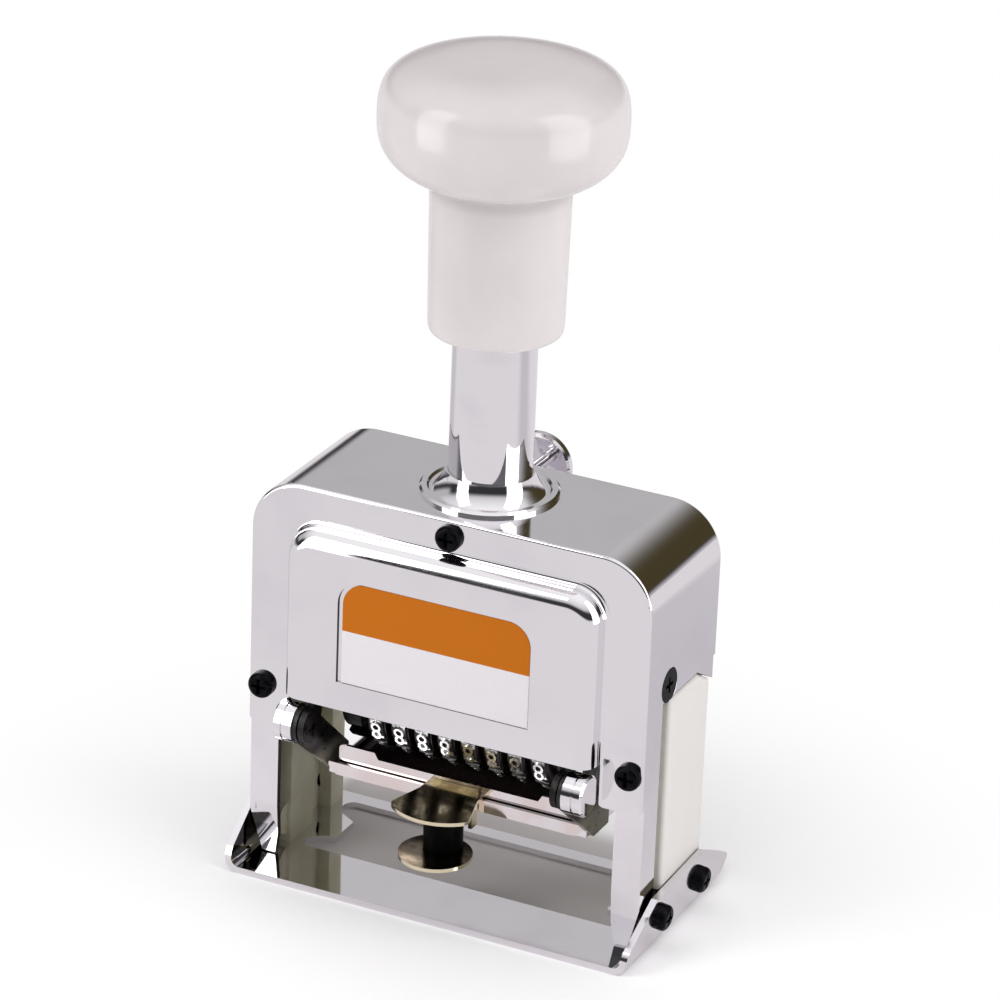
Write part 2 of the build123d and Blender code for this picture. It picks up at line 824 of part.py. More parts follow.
def guide_shoe():
    """Right slide shoe on the end of the rear tie rod, running in the guide's groove."""
    half_depth = groove_width / 2 - shoe_clearance
    start = guide_inner + shoe_clearance
    end = guide_floor - shoe_clearance
    shoe = block(start, end, groove_middle - half_depth, groove_middle + half_depth,
                 tie_height - shoe_height / 2, tie_height + shoe_height / 2)
    shoe = fillet(shoe.edges().filter_by(Axis.X), shoe_round)
    return shoe - rod_x(tie_radius, start, end, groove_middle, tie_height)


def axle_spacers():
    """Spacer tube right of the wheels, and the tubes that keep the shoes off the plates."""
    inner_tube = rod_x(axle_radius + tube_wall, dial_inner, carriage_inner, 0, axle_height)
    inner_tube -= rod_x(axle_radius, dial_inner, carriage_inner, 0, axle_height)
    shoe_start = guide_inner + shoe_clearance
    outer_tube = rod_x(tie_radius + tube_wall, carriage_outer, shoe_start,
                       groove_middle, tie_height)
    outer_tube -= rod_x(tie_radius, carriage_outer, shoe_start, groove_middle, tie_height)
    return inner_tube + both_sides(outer_tube)


def repeat_dial():
    """Toothed dial left of the wheels that sets how often each number repeats."""
    face = Circle(dial_radius)
    for step in range(dial_teeth):
        face -= Rot(0, 0, 360 / dial_teeth * step) * Pos(dial_radius, 0) * Rectangle(
            2 * dial_tooth_depth, dial_tooth_width)
    face -= Circle(axle_radius + running_fit)
    return Pos(0, 0, axle_height) * along_x(face, -dial_outer, -dial_inner)


def detent_comb():
    """Leaf comb on the front tie rod, one finger over each wheel's ratchet."""
    front = tie_front + tie_radius
    back = front + detent_sheet
    comb = block(-stack_half, stack_half, front, back, tie_height - detent_height / 2,
                 tie_height + detent_height / 2)
    reach = ratchet_radius + finger_clearance
    foot = axle_height + sqrt(reach**2 - back**2)
    for index in range(wheel_count):
        x = wheel_position(index) + ratchet_middle
        comb += block(x - finger_width / 2, x + finger_width / 2, front, back, foot, tie_height)
    return comb


def pawl_yoke():
    """Stirrup that rocks on the axle: two arms and a rear bar with a finger per wheel."""
    bar_out = pawl_bar_radius + pawl_bar_thickness / 2
    bar_in = pawl_bar_radius - pawl_bar_thickness / 2
    arm_face = Circle(pawl_boss_radius)
    arm_face += outline((0, -pawl_boss_radius), (bar_out, -pawl_bar_height / 2),
                        (bar_out, pawl_bar_height / 2), (0, pawl_boss_radius))
    arm_face -= Circle(axle_radius + running_fit)
    yoke = both_sides(along_x(arm_face, pawl_inner, pawl_outer))
    yoke += block(-pawl_outer, pawl_outer, bar_in, bar_out,
                  -pawl_bar_height / 2, pawl_bar_height / 2)
    finger_start = ratchet_radius + finger_clearance
    for index in range(wheel_count):
        x = wheel_position(index) + ratchet_middle
        yoke += block(x - finger_width / 2, x + finger_width / 2, finger_start, bar_in,
                      -finger_height / 2, finger_height / 2)
    return Pos(0, 0, axle_height) * (Rot(pawl_rest_angle, 0, 0) * yoke)


# ---- Return springs -----------------------------------------------------------------
def return_spring():
    """Right return spring: an open coil that the crosshead stretches as it goes down."""
    bottom = crosshead_top + spring_seat_gap + spring_wire
    top = case_top - shell_wall - anchor_thickness - spring_seat_gap - spring_wire
    coil = Helix(pitch=(top - bottom) / spring_turns, height=top - bottom, radius=spring_radius)
    wire_plane = Plane(origin=coil @ 0, z_dir=coil % 0)
    wire = sweep(wire_plane * RegularPolygon(spring_wire, 6), path=coil)
    return Pos(spring_offset, 0, bottom) * wire


def spring_anchor():
    """Right anchor: a bar under the case's top that holds the spring's upper end."""
    top = case_top - shell_wall
    bar = block(spring_offset - anchor_width / 2, spring_offset + anchor_width / 2,
                -anchor_depth / 2, anchor_depth / 2, top - anchor_thickness, top)
    return fillet(bar.edges().filter_by(Axis.Z), anchor_round)


# ---- Ink cradle ---------------------------------------------------------------------
def cradle_bracket():
    """Right bracket: hangs in the hollow of the front panel and carries a pivot stud."""
    front = case_front - panel_depth + shell_fit
    face = outline(
        (front, pivot_height), (front, bracket_top), (case_front, bracket_top),
        (case_front, panel_bottom), (pivot_front + bracket_radius, pivot_height))
    face += Pos(pivot_front, pivot_height) * Circle(bracket_radius)
    bracket = along_x(face, bracket_inner, bracket_outer)
    bracket += block(bracket_inner - bracket_foot_width, bracket_outer, front,
                     front + bracket_sheet, label_bottom, bracket_top)
    stud_end = arm_outer + disc_bore_depth - body_gap
    return bracket + rod_x(stud_radius, bracket_inner, stud_end, pivot_front, pivot_height)


def cradle_arm():
    """Right arm: from the pivot back and down to the end of the tray carrier."""
    boss = Pos(pivot_front, pivot_height) * Circle(arm_boss_radius)
    foot = outline((arm_knee, carrier_bottom), (arm_back, carrier_bottom),
                   (arm_back, carrier_bottom + arm_foot_height))
    face = make_hull(boss.edges() + foot.edges())
    face -= Pos(pivot_front, pivot_height) * Circle(stud_radius + running_fit)
    return along_x(face, arm_inner, arm_outer)


def pivot_disc():
    """Right pivot disc: a turned double disc riveted to the arm, running on the stud."""
    groove_start = arm_outer + disc_inner_rim
    disc = rod_x(disc_radius, arm_outer, groove_start, pivot_front, pivot_height)
    disc += rod_x(disc_groove_radius, arm_outer, disc_outer, pivot_front, pivot_height)
    face = rod_x(disc_radius, groove_start + disc_groove, disc_outer, pivot_front, pivot_height)
    disc += chamfer(face.faces().sort_by(Axis.X)[-1].edges(), disc_chamfer)
    return disc - rod_x(stud_radius + running_fit, arm_outer, arm_outer + disc_bore_depth,
                        pivot_front, pivot_height)


def tray_carrier():
    """Flat slotted runner under the ink tray; its ends are riveted to the arms."""
    plate = block(-arm_inner, arm_inner, carrier_front, carrier_back, carrier_bottom, carrier_top)
    plate = chamfer(plate.edges().filter_by(Axis.Z).sort_by(Axis.Y)[-2:], carrier_corner)
    slot = block(-carrier_slot_half, carrier_slot_half, carrier_front + carrier_slot_margin,
                 carrier_back - carrier_slot_margin, carrier_bottom, carrier_top)
    return plate - fillet(slot.edges().filter_by(Axis.Z), carrier_slot_radius)


def ink_tray():
    """Sheet tray: floor, low walls, a front lip higher at its ends, and an apron before it."""
    half = tray_half_width
    mid = tray_lip_mid_half
    lip = outline(
        (-half, tray_floor), (half, tray_floor), (half, tray_lip_height),
        (mid, tray_lip_height), (mid - tray_lip_step, tray_lip_mid_height),
        (tray_lip_step - mid, tray_lip_mid_height), (-mid, tray_lip_height),
        (-half, tray_lip_height))
    lip = rounded(lip, tray_lip_step,
                  lambda v: abs(v.X) > half - 0.1 and v.Y > tray_lip_height - 0.1)
    tray = along_y(lip, tray_front, tray_front + tray_sheet)
    hollow = block(tray_sheet - half, half - tray_sheet, tray_front, carrier_back - tray_sheet,
                   tray_floor + tray_sheet, tray_wall_height)
    box = block(-half, half, tray_front, carrier_back, tray_floor, tray_wall_height)
    ledge = block(-half, half, apron_front, tray_front, tray_floor, tray_floor + tray_sheet)
    end = apron_half_width
    apron = along_y(outline(
        (-end, apron_top), (-end, apron_top - apron_drop + apron_corner),
        (apron_corner - end, apron_top - apron_drop), (end - apron_corner, apron_top - apron_drop),
        (end, apron_top - apron_drop + apron_corner), (end, apron_top)),
        apron_front, apron_front + tray_sheet)
    return tray + (box - hollow) + ledge + apron


def ink_pad():
    pad = block(-pad_half_width, pad_half_width, pad_front, pad_back,
                pad_top - pad_thickness, pad_top)
    return fillet(pad.edges().filter_by(Axis.Z), pad_round)


# ---- Brass pull ---------------------------------------------------------------------
def pull_tab():
    """Upper brass lobe with two cheeks folded down and a foot against the tray's lip."""
    sides = Polyline((-pull_half_width, pull_shoulder), (-pull_root_half, pull_root_front),
                     (-pull_root_half, tray_front), (pull_root_half, tray_front),
                     (pull_root_half, pull_root_front), (pull_half_width, pull_shoulder))
    front = ThreePointArc((-pull_half_width, pull_shoulder), (0, pull_front),
                          (pull_half_width, pull_shoulder))
    face = rounded(make_face(Curve() + [sides, front]), pull_corner,
                   lambda v: v.Y < pull_shoulder + 0.1)
    lobe = along_z(face, pull_height, pull_height + pull_sheet)
    cheek = block(cheek_inner, cheek_inner + pull_sheet, cheek_front, cheek_back,
                  pull_height - cheek_drop, pull_height)
    foot = block(-pull_foot_half, pull_foot_half, tray_front - pull_sheet, tray_front,
                 pull_height, tray_lip_mid_height - body_gap)
    return lobe + both_sides(cheek) + foot


def pull_core():
    """Black moulded post between the two brass lobes."""
    return rod_z(post_radius, lower_pull_height + pull_sheet, pull_height, 0, post_front)


def lower_tab():
    """Lower brass lobe: a round disc under the post."""
    return rod_z(lower_pull_radius, lower_pull_height, lower_pull_height + pull_sheet,
                 0, pull_front + lower_pull_radius)


# ---- Lock knob ----------------------------------------------------------------------
def lock_bush():
    """Bush through the rear flange and cover that guides the lock pin."""
    start = case_back - lock_bush_length
    end = case_back + cover_sheet + lock_bush_stand_out
    bush = rod_y(lock_bush_radius, start, end, 0, lock_height)
    return bush - rod_y(lock_pin_radius + running_fit, start, end, 0, lock_height)


def lock_knob():
    """Chromed button with a domed back on a pin: pushed in, it holds the plunger down."""
    rim_end = lock_knob_front + lock_knob_rim
    edge = Polyline((0, lock_knob_back), (0, lock_knob_front),
                    (lock_radius - lock_knob_chamfer, lock_knob_front),
                    (lock_radius, lock_knob_front + lock_knob_chamfer), (lock_radius, rim_end))
    dome = TangentArc((0, lock_knob_back), (lock_radius, rim_end), tangent=(1, 0))
    button = Pos(0, 0, lock_height) * revolve(make_face(Curve() + [edge, dome]), Axis.Y)
    return button + rod_y(lock_pin_radius, lock_pin_tip, lock_knob_front, 0, lock_height)


# ---- Screws -------------------------------------------------------------------------
def screw_places(group):
    """Planes on which the screws of a group sit; each plane's z looks out of the machine."""
    lean = radians(ear_lean)
    ear_x = base_half_width + ear_slope(ear_screw_height)
    cover_front = case_front - cover_sheet
    cover_back = case_back + cover_sheet
    places = []
    for side in (-1, 1):
        if group == "front":
            places.append(((side * cover_screw_side, cover_front, cover_screw_height), (0, -1, 0)))
        elif group == "back":
            for x, z in ((back_edge_screw_side, back_screw_height),
                         (back_screw_side, cover_screw_top)):
                places.append(((side * x, cover_back, z), (0, 1, 0)))
        elif group == "side":
            places.append(((side * case_half, side_screw_front, side_screw_height), (side, 0, 0)))
        else:
            for y in (ear_screw_front, ear_screw_back):
                places.append(((side * ear_x, y, ear_screw_height),
                               (side * cos(lean), 0, -sin(lean))))
    if group == "front":
        places.append(((0, cover_front, cover_screw_top), (0, -1, 0)))
    return [Plane(origin=spot, x_dir=Vector(0, 0, 1).cross(Vector(out)), z_dir=out)
            for spot, out in places]


def sunk_part(group, shank_fit, head_fit):
    """What lies below a screw's seat; with its fits it is the hole for that."""
    part = rod_z(screw_shank_radius + shank_fit, -screw_shank_length - shank_fit, 0)
    if group == "side":
        depth = flat_head_radius - screw_shank_radius
        part += Pos(0, 0, -depth) * Cone(
            screw_shank_radius + head_fit, flat_head_radius + head_fit, depth,
            align=(Align.CENTER, Align.CENTER, Align.MIN))
    return part


def screw_holes(group):
    """Clearance holes of a whole group of screws."""
    hole = sunk_part(group, screw_clearance, flat_head_fit)
    return Part() + [place * hole for place in screw_places(group)]


def cross_recess(height):
    """Cross-shaped recess of a screw whose face lies at a height."""
    arm = Rectangle(cross_length, cross_width)
    return along_z(arm + Rot(0, 0, 90) * arm, height - screw_recess, height)


def pan_head():
    """Domed head above z=0."""
    head = rod_z(screw_head_radius, 0, screw_head_height)
    return fillet(head.faces().sort_by(Axis.Z)[-1].edges(), screw_head_height * 0.6)


def screws(group):
    """All screws of a group, as separate solids: flat heads at the sides, else pan heads."""
    screw = sunk_part(group, 0, 0)
    if group == "side":
        screw -= cross_recess(0)
    else:
        screw += pan_head() - cross_recess(screw_head_height)
    return Compound([place * screw for place in screw_places(group)])


def ear_spacers():
    """Black spacers that hold each ear off the guides, one round each ear screw."""
    outer = base_half_width + ear_slope(ear_screw_height - spacer_radius)
    outer -= base_sheet / cos(radians(ear_lean))
    hole = screw_shank_radius + screw_clearance
    spacers = []
    for y in (ear_screw_front, ear_screw_back):
        ring = rod_x(spacer_radius, guide_outer, outer, y, ear_screw_height)
        ring -= rod_x(hole, guide_outer, outer, y, ear_screw_height)
        spacers += [ring, other_side(ring)]
    return Compound(spacers)


# ---- All nodes ----------------------------------------------------------------------
def all_parts():
    """Every node of the machine by its name."""
    nodes = {
        "base_plate": base_plate(),
        "body_shell": body_shell(),
        "front_cover": front_cover(),
        "back_cover": back_cover(),
        "label_plate": label_plate(),
        "collar": collar(),
        "collar_nut": collar_nut(),
        "stem": stem(),
        "stem_plug": stem_plug(),
        "stem_screw": stem_screw(),
        "handle": handle(),
        "crosshead": crosshead(),
        "wheel_axle": wheel_axle(),
        "axle_spacers": axle_spacers(),
        "tie_rods": tie_rods(),
        "detent_comb": detent_comb(),
        "repeat_dial": repeat_dial(),
        "pawl_yoke": pawl_yoke(),
        "tray_carrier": tray_carrier(),
        "ink_tray": ink_tray(),
        "ink_pad": ink_pad(),
        "pull_tab": pull_tab(),
        "pull_core": pull_core(),
        "lower_tab": lower_tab(),
        "lock_bush": lock_bush(),
        "lock_knob": lock_knob(),
        "front_screws": screws("front"),
        "back_screws": screws("back"),
        "side_screws": screws("side"),
        "ear_screws": screws("ear"),
        "ear_spacers": ear_spacers(),
    }
    paired = {
        "side_guide": side_guide(),
        "carriage_plate": carriage_plate(),
        "guide_shoe": guide_shoe(),
        "return_spring": return_spring(),
        "spring_anchor": spring_anchor(),
        "cradle_bracket": cradle_bracket(),
        "cradle_arm": cradle_arm(),
        "pivot_disc": pivot_disc(),
    }
    for name, part in paired.items():
        nodes[name + "_right"] = part
        nodes[name + "_left"] = other_side(part)
    wheel = number_wheel()
    for index in range(wheel_count):
        place = Pos(wheel_position(index), 0, axle_height)
        nodes["number_wheel_" + str(index + 1)] = place * wheel
    return nodes


os.makedirs("parts", exist_ok=True)
for name, part in all_parts().items():
    export_step(part, "parts/" + name + ".step")
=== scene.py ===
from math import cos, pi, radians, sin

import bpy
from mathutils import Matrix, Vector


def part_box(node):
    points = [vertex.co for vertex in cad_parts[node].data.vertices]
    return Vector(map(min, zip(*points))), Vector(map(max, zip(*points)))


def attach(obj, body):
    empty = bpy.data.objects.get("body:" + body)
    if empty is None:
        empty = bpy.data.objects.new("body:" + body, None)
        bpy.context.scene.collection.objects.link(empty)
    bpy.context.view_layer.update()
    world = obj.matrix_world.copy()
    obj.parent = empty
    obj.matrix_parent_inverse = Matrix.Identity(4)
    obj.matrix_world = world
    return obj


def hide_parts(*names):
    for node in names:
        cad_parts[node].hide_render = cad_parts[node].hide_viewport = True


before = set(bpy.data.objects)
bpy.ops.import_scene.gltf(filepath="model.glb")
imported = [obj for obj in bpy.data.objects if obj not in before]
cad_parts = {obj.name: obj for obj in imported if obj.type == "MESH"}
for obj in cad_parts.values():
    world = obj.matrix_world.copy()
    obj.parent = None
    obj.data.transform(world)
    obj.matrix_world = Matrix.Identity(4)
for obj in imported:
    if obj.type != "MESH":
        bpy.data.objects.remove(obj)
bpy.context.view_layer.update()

# %% [markdown]
# # A hand numbering machine
#
# The construction is loaded as a fixed frame: every solid of the machine is already in place,
# in metres, with +Z up and the front cover looking along -Y. This lesson dresses it. Most solids
# keep their mesh and get a finish. The number wheels and the felt ink pad are modelled again,
# because their solids have neither figures nor the soft surface of felt, and so is the palm knob,
# whose gloss needs a perfectly smooth crown.

MM = 0.001

# %% [markdown]
# ## Camera
#
# The machine is seen from its right front, a little from above. The camera is placed by its
# bearing, height and distance from a point on the plunger's axis, and is turned slightly about
# its own line of sight. A long lens keeps the upright edges nearly parallel.

# %% Camera
view_bearing = radians(25.3)
view_height = radians(24.0)
view_roll = radians(2.24)
view_distance = 0.930
view_target = Vector((0.0, 0.0045, 0.0747))
lens_millimetres = 184.5

line_of_sight = Vector((-sin(view_bearing) * cos(view_height),
                        cos(view_bearing) * cos(view_height),
                        -sin(view_height)))
bpy.ops.object.camera_add(location=view_target - view_distance * line_of_sight)
camera = bpy.context.object
camera.name = "view_camera"
camera.rotation_mode = "QUATERNION"
upright = line_of_sight.to_track_quat("-Z", "Y")
camera.rotation_quaternion = upright @ Matrix.Rotation(view_roll, 3, "Z").to_quaternion()
camera.data.lens = lens_millimetres
bpy.context.scene.camera = camera
bpy.context.scene.view_settings.view_transform = "Standard"
print("camera at", tuple(round(v, 3) for v in camera.location))

# %% [markdown]
# ## Nodes
#
# The floor, the room and every finish are painted by nodes: small boxes that each do one thing
# and are linked into a tree. A few helpers keep the trees short to read: a new material, one step
# of arithmetic, a soft change between two values, a band with soft edges and a mix of two colours.

# %% Helpers for nodes
def new_material(name):
    """Empty node material with its tree and its shader, ready to be dressed."""
    material = bpy.data.materials.new(name)
    material.use_nodes = True
    shader = material.node_tree.nodes["Principled BSDF"]
    return material, material.node_tree, shader


def maths(tree, operation, first, second=0.0):
    """One step of arithmetic on a socket and a number or a second socket."""
    step = tree.nodes.new("ShaderNodeMath")
    step.operation = operation
    tree.links.new(first, step.inputs[0])
    if isinstance(second, (int, float)):
        step.inputs[1].default_value = second
    else:
        tree.links.new(second, step.inputs[1])
    return step.outputs["Value"]


def soft_step(tree, value, start, end, low=0.0, high=1.0):
    """Smooth change from low to high while a value goes from start to end."""
    change = tree.nodes.new("ShaderNodeMapRange")
    change.interpolation_type = "SMOOTHSTEP"
    change.inputs["From Min"].default_value = start
    change.inputs["From Max"].default_value = end
    change.inputs["To Min"].default_value = low
    change.inputs["To Max"].default_value = high
    tree.links.new(value, change.inputs["Value"])
    return change.outputs["Result"]


def soft_band(tree, value, start, full, fading, end):
    """1 while a value is between full and fading, falling softly to 0 at start and end."""
    return maths(tree, "MULTIPLY", soft_step(tree, value, start, full),
                 soft_step(tree, value, fading, end, 1.0, 0.0))


def blended(tree, share, first, second):
    """Mix of two colours, each a socket or a fixed colour."""
    mix = tree.nodes.new("ShaderNodeMix")
    mix.data_type = "RGBA"
    tree.links.new(share, mix.inputs["Factor"])
    # Several sockets share a name: inputs 6 and 7 and output 2 are the ones for colours
    for socket, colour in ((mix.inputs[6], first), (mix.inputs[7], second)):
        if isinstance(colour, tuple):
            socket.default_value = colour
        else:
            tree.links.new(colour, socket)
    return mix.outputs[2]


# %% [markdown]
# ## Floor
#
# Upright mirror faces show the floor before them, so the floor is part of the machine's look. It
# is a plain white sheet, but what polished metal mirrors of it is a warm pale grey that is a
# little dimmer in a strip behind the machine. The patch that the base plate frames is given a
# darker colour still, a painted shade, because the works above it close out most of the room.

# %% Floor sheet
floor_size = 8.0
bpy.ops.mesh.primitive_plane_add(size=floor_size, location=(0, 0, 0))
floor = bpy.context.object
floor.name = "studio_floor"
floor_material, tree, shader = new_material("studio_floor")
shader.inputs["Roughness"].default_value = 0.7
floor.data.materials.append(floor_material)
print("floor", floor_size, "m wide")

# %% Colours of the floor
floor_white = (1.0, 1.0, 1.0, 1)
floor_front = (0.78, 0.755, 0.77, 1)
floor_behind = (0.60, 0.575, 0.605, 1)
# painted shade: darker colour for the patch of floor under the machine
floor_painted_shade = (0.58, 0.55, 0.54, 1)
# Where the dimmer strip starts, is full, fades and ends, in metres behind the plunger's axis
strip_behind = (0.0, 0.08, 0.13, 0.20)
patch_side_edge = 6 * MM
patch_end_edge = 8 * MM
base_low, base_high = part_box("base_plate")

ray = tree.nodes.new("ShaderNodeLightPath")
spot = tree.nodes.new("ShaderNodeTexCoord")
parts = tree.nodes.new("ShaderNodeSeparateXYZ")
tree.links.new(spot.outputs["Object"], parts.inputs["Vector"])
behind = soft_band(tree, parts.outputs["Y"], *strip_behind)
mirrored = blended(tree, behind, floor_front, floor_behind)
lit = blended(tree, ray.outputs["Is Glossy Ray"], floor_white, mirrored)
sideways = maths(tree, "ABSOLUTE", parts.outputs["X"])
between_sides = soft_step(tree, sideways, base_high.x - patch_side_edge, base_high.x, 1.0, 0.0)
between_ends = soft_band(tree, parts.outputs["Y"], base_low.y, base_low.y + patch_end_edge,
                         base_high.y, base_high.y + patch_end_edge)
# painted shade: this mask darkens the floor between the base plate's edges
painted_shade_patch = maths(tree, "MULTIPLY", between_sides, between_ends)
tree.links.new(blended(tree, painted_shade_patch, lit, floor_painted_shade), shader.inputs["Base Color"])
print("floor mirrored dimmer from", strip_behind[0], "to", strip_behind[-1], "m behind")

# %% [markdown]
# Near the machine the sheet's own shading keeps the shadow under the base. Farther off, even
# light takes over for rays from the camera and from polished metal, so that the sheet reads as
# one bright ground with no visible end. Diffuse rays don't meet this light, so it doesn't
# brighten the machine's dull parts.

# %% Even light on the floor
shading_reach = 0.04
white_from = 0.115

even_light = tree.nodes.new("ShaderNodeEmission")
even_light.inputs["Strength"].default_value = 1.0
tree.links.new(lit, even_light.inputs["Color"])
seen = maths(tree, "MAXIMUM", ray.outputs["Is Camera Ray"], ray.outputs["Is Glossy Ray"])
from_machine = tree.nodes.new("ShaderNodeVectorMath")
from_machine.operation = "LENGTH"
tree.links.new(spot.outputs["Object"], from_machine.inputs[0])
far = soft_step(tree, from_machine.outputs["Value"], shading_reach, white_from)
ground = tree.nodes.new("ShaderNodeMixShader")
tree.links.new(maths(tree, "MULTIPLY", seen, far), ground.inputs["Fac"])
tree.links.new(shader.outputs["BSDF"], ground.inputs[1])
tree.links.new(even_light.outputs["Emission"], ground.inputs[2])
tree.links.new(ground.outputs["Shader"], tree.nodes["Material Output"].inputs["Surface"])
print("floor shaded to", shading_reach, "m, even from", white_from, "m")

# %% [markdown]
# ## Room
#
# Chrome has hardly any colour of its own: what makes it look like chrome is a room with light and
# dark parts. The room is a soft gradient by height: pale where the wall meets the floor, dark
# above that, and bright toward the ceiling. A colour ramp over the upward part of the direction
# draws it.

# %% Walls and ceiling
skirting = (0.45, 0.43, 0.45, 1)
wall_dark = (0.05, 0.048, 0.05, 1)
wall_grey = (0.42, 0.41, 0.42, 1)
ceiling_low = (0.62, 0.61, 0.62, 1)
ceiling_high = (0.85, 0.84, 0.85, 1)

world = bpy.data.worlds.new("studio_room")
bpy.context.scene.world = world
world.use_nodes = True
tree = world.node_tree
tree.nodes.clear()
direction = tree.nodes.new("ShaderNodeTexCoord")
split = tree.nodes.new("ShaderNodeSeparateXYZ")
heights = tree.nodes.new("ShaderNodeValToRGB")
tree.links.new(direction.outputs["Generated"], split.inputs["Vector"])
tree.links.new(split.outputs["Z"], heights.inputs["Fac"])
stops = heights.color_ramp.elements
stops[0].position = 0.0
stops[0].color = skirting
stops[1].position = 0.95
stops[1].color = ceiling_high
for height, shade in ((0.09, wall_dark), (0.17, wall_dark), (0.30, wall_grey),
                      (0.44, wall_grey), (0.62, ceiling_low)):
    stops.new(height).color = shade
print("room of", len(stops), "shades")

# %% [markdown]
# The wall in front stays dark higher up, which draws the black lines beside the bright ones on
# every rounded edge. Behind the machine, on its right, is a dim brown corner, which the rounded
# right shoulder of the case mirrors.

# %% Dark front and brown corner
front_dark = (0.03, 0.03, 0.032, 1)
front_from = -0.1
front_full = -0.35
# Where the dark front starts, is full, fades and ends, as the upward part of the direction
front_heights = (0.03, 0.09, 0.33, 0.55)
corner_brown = (0.050, 0.040, 0.018, 1)
corner_direction = Vector((0.40, 0.86, 0.26)).normalized()
corner_closeness = 0.70
corner_foot = 0.16

in_front = soft_step(tree, split.outputs["Y"], front_from, front_full)
low_wall = soft_band(tree, split.outputs["Z"], *front_heights)
walls = blended(tree, maths(tree, "MULTIPLY", in_front, low_wall), heights.outputs["Color"],
                front_dark)
toward_corner = tree.nodes.new("ShaderNodeVectorMath")
toward_corner.operation = "DOT_PRODUCT"
toward_corner.inputs[1].default_value = corner_direction
tree.links.new(direction.outputs["Generated"], toward_corner.inputs[0])
near_corner = soft_step(tree, toward_corner.outputs["Value"], corner_closeness, 1.0)
above_floor = soft_step(tree, split.outputs["Z"], 0.0, corner_foot)
shaded = blended(tree, maths(tree, "MULTIPLY", near_corner, above_floor), walls, corner_brown)
print("brown corner toward", tuple(round(v, 2) for v in corner_direction))

# %% [markdown]
# The room lights the machine and shows in its chrome, but the camera itself sees plain white.

# %% Room for the machine, white for the camera
room_strength = 1.2

room = tree.nodes.new("ShaderNodeBackground")
room.inputs["Strength"].default_value = room_strength
tree.links.new(shaded, room.inputs["Color"])
backdrop = tree.nodes.new("ShaderNodeBackground")
backdrop.inputs["Color"].default_value = floor_white
ray = tree.nodes.new("ShaderNodeLightPath")
chosen = tree.nodes.new("ShaderNodeMixShader")
tree.links.new(ray.outputs["Is Camera Ray"], chosen.inputs["Fac"])
tree.links.new(room.outputs["Background"], chosen.inputs[1])
tree.links.new(backdrop.outputs["Background"], chosen.inputs[2])
output = tree.nodes.new("ShaderNodeOutputWorld")
tree.links.new(chosen.outputs["Shader"], output.inputs["Surface"])
print("room strength", room_strength)


# %% [markdown]
# ## Lamps
#
# Two tall soft boxes stand upright on the floor, one to the left of the front and one to the
# right. They draw the two soft windows on the palm knob, and the left one is also the bright band
# on the rounded edge of the pressed panel.

# %% Lamps
def soft_box(name, place, width, height, power):
    """Upright rectangular soft lamp that faces the plunger's axis, its power in watts."""
    bpy.ops.object.light_add(type="AREA", location=place)
    lamp = bpy.context.object
    lamp.name = name
    lamp.data.shape = "RECTANGLE"
    lamp.data.size = width
    lamp.data.size_y = height
    lamp.data.energy = power
    lamp.rotation_mode = "QUATERNION"
    toward_axis = Vector((-place[0], -place[1], 0))
    lamp.rotation_quaternion = toward_axis.to_track_quat("-Z", "Y")


soft_box("left_soft_box", place=(-0.24, -0.28, 0.31), width=0.19, height=0.58, power=1.0)
soft_box("right_soft_box", place=(0.36, -0.02, 0.37), width=0.26, height=0.72, power=1.3)


# %% [markdown]
# ## Patterns for finishes
#
# Every finish reads Object coordinates, in metres, so a pattern keeps its real size and stays on
# its piece when the machine moves. The same few steps return in each: a noise of a given grain
# size, two colours in patches, a shine that wanders between glossy and dull, a fine relief, and a
# layer of colour or dullness over one part of the piece.

# %% Helpers for finishes
def nodes_named(*starts):
    """Names of all construction nodes that start with one of the given words."""
    return [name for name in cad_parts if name.startswith(starts)]


def finish_with(material, names):
    """Give a material to construction nodes."""
    for name in names:
        for slot in bpy.data.objects[name].material_slots:
            slot.material = material
    print(material.name, "on", len(names), "nodes")


def object_place(tree, stretch=(1, 1, 1)):
    """Object coordinates; a stretch above 1 draws a pattern finer along that axis."""
    place = tree.nodes.new("ShaderNodeTexCoord")
    mapping = tree.nodes.new("ShaderNodeMapping")
    mapping.inputs["Scale"].default_value = stretch
    tree.links.new(place.outputs["Object"], mapping.inputs["Vector"])
    return mapping.outputs["Vector"]


def coordinate(tree, axis):
    """One object coordinate, in metres."""
    parts = tree.nodes.new("ShaderNodeSeparateXYZ")
    tree.links.new(object_place(tree), parts.inputs["Vector"])
    return parts.outputs[axis]


def noise(tree, grain, detail=2.0, stretch=(1, 1, 1)):
    """Cloudy noise whose grains have about the given size in millimetres."""
    texture = tree.nodes.new("ShaderNodeTexNoise")
    texture.inputs["Scale"].default_value = 1.0 / (grain * MM)
    texture.inputs["Detail"].default_value = detail
    tree.links.new(object_place(tree, stretch), texture.inputs["Vector"])
    return texture.outputs["Fac"]


def mottled(tree, pattern, first, second, start=0.35, end=0.7):
    """Two colours in soft patches, the second where the pattern is above end."""
    return blended(tree, soft_step(tree, pattern, start, end), first, second)


def wandering_shine(tree, shader, pattern, least, most):
    """Roughness that wanders between two values with a pattern."""
    tree.links.new(soft_step(tree, pattern, 0.3, 0.7, least, most), shader.inputs["Roughness"])


def relief(tree, shader, height, depth):
    """Fine relief of the given depth in millimetres."""
    bump = tree.nodes.new("ShaderNodeBump")
    bump.inputs["Distance"].default_value = depth * MM
    tree.links.new(height, bump.inputs["Height"])
    tree.links.new(bump.outputs["Normal"], shader.inputs["Normal"])


def coloured_where(tree, shader, where, colour):
    """Lay a colour over a finish in one part of it."""
    below = shader.inputs["Base Color"].links[0].from_socket
    tree.links.new(blended(tree, where, below, colour), shader.inputs["Base Color"])


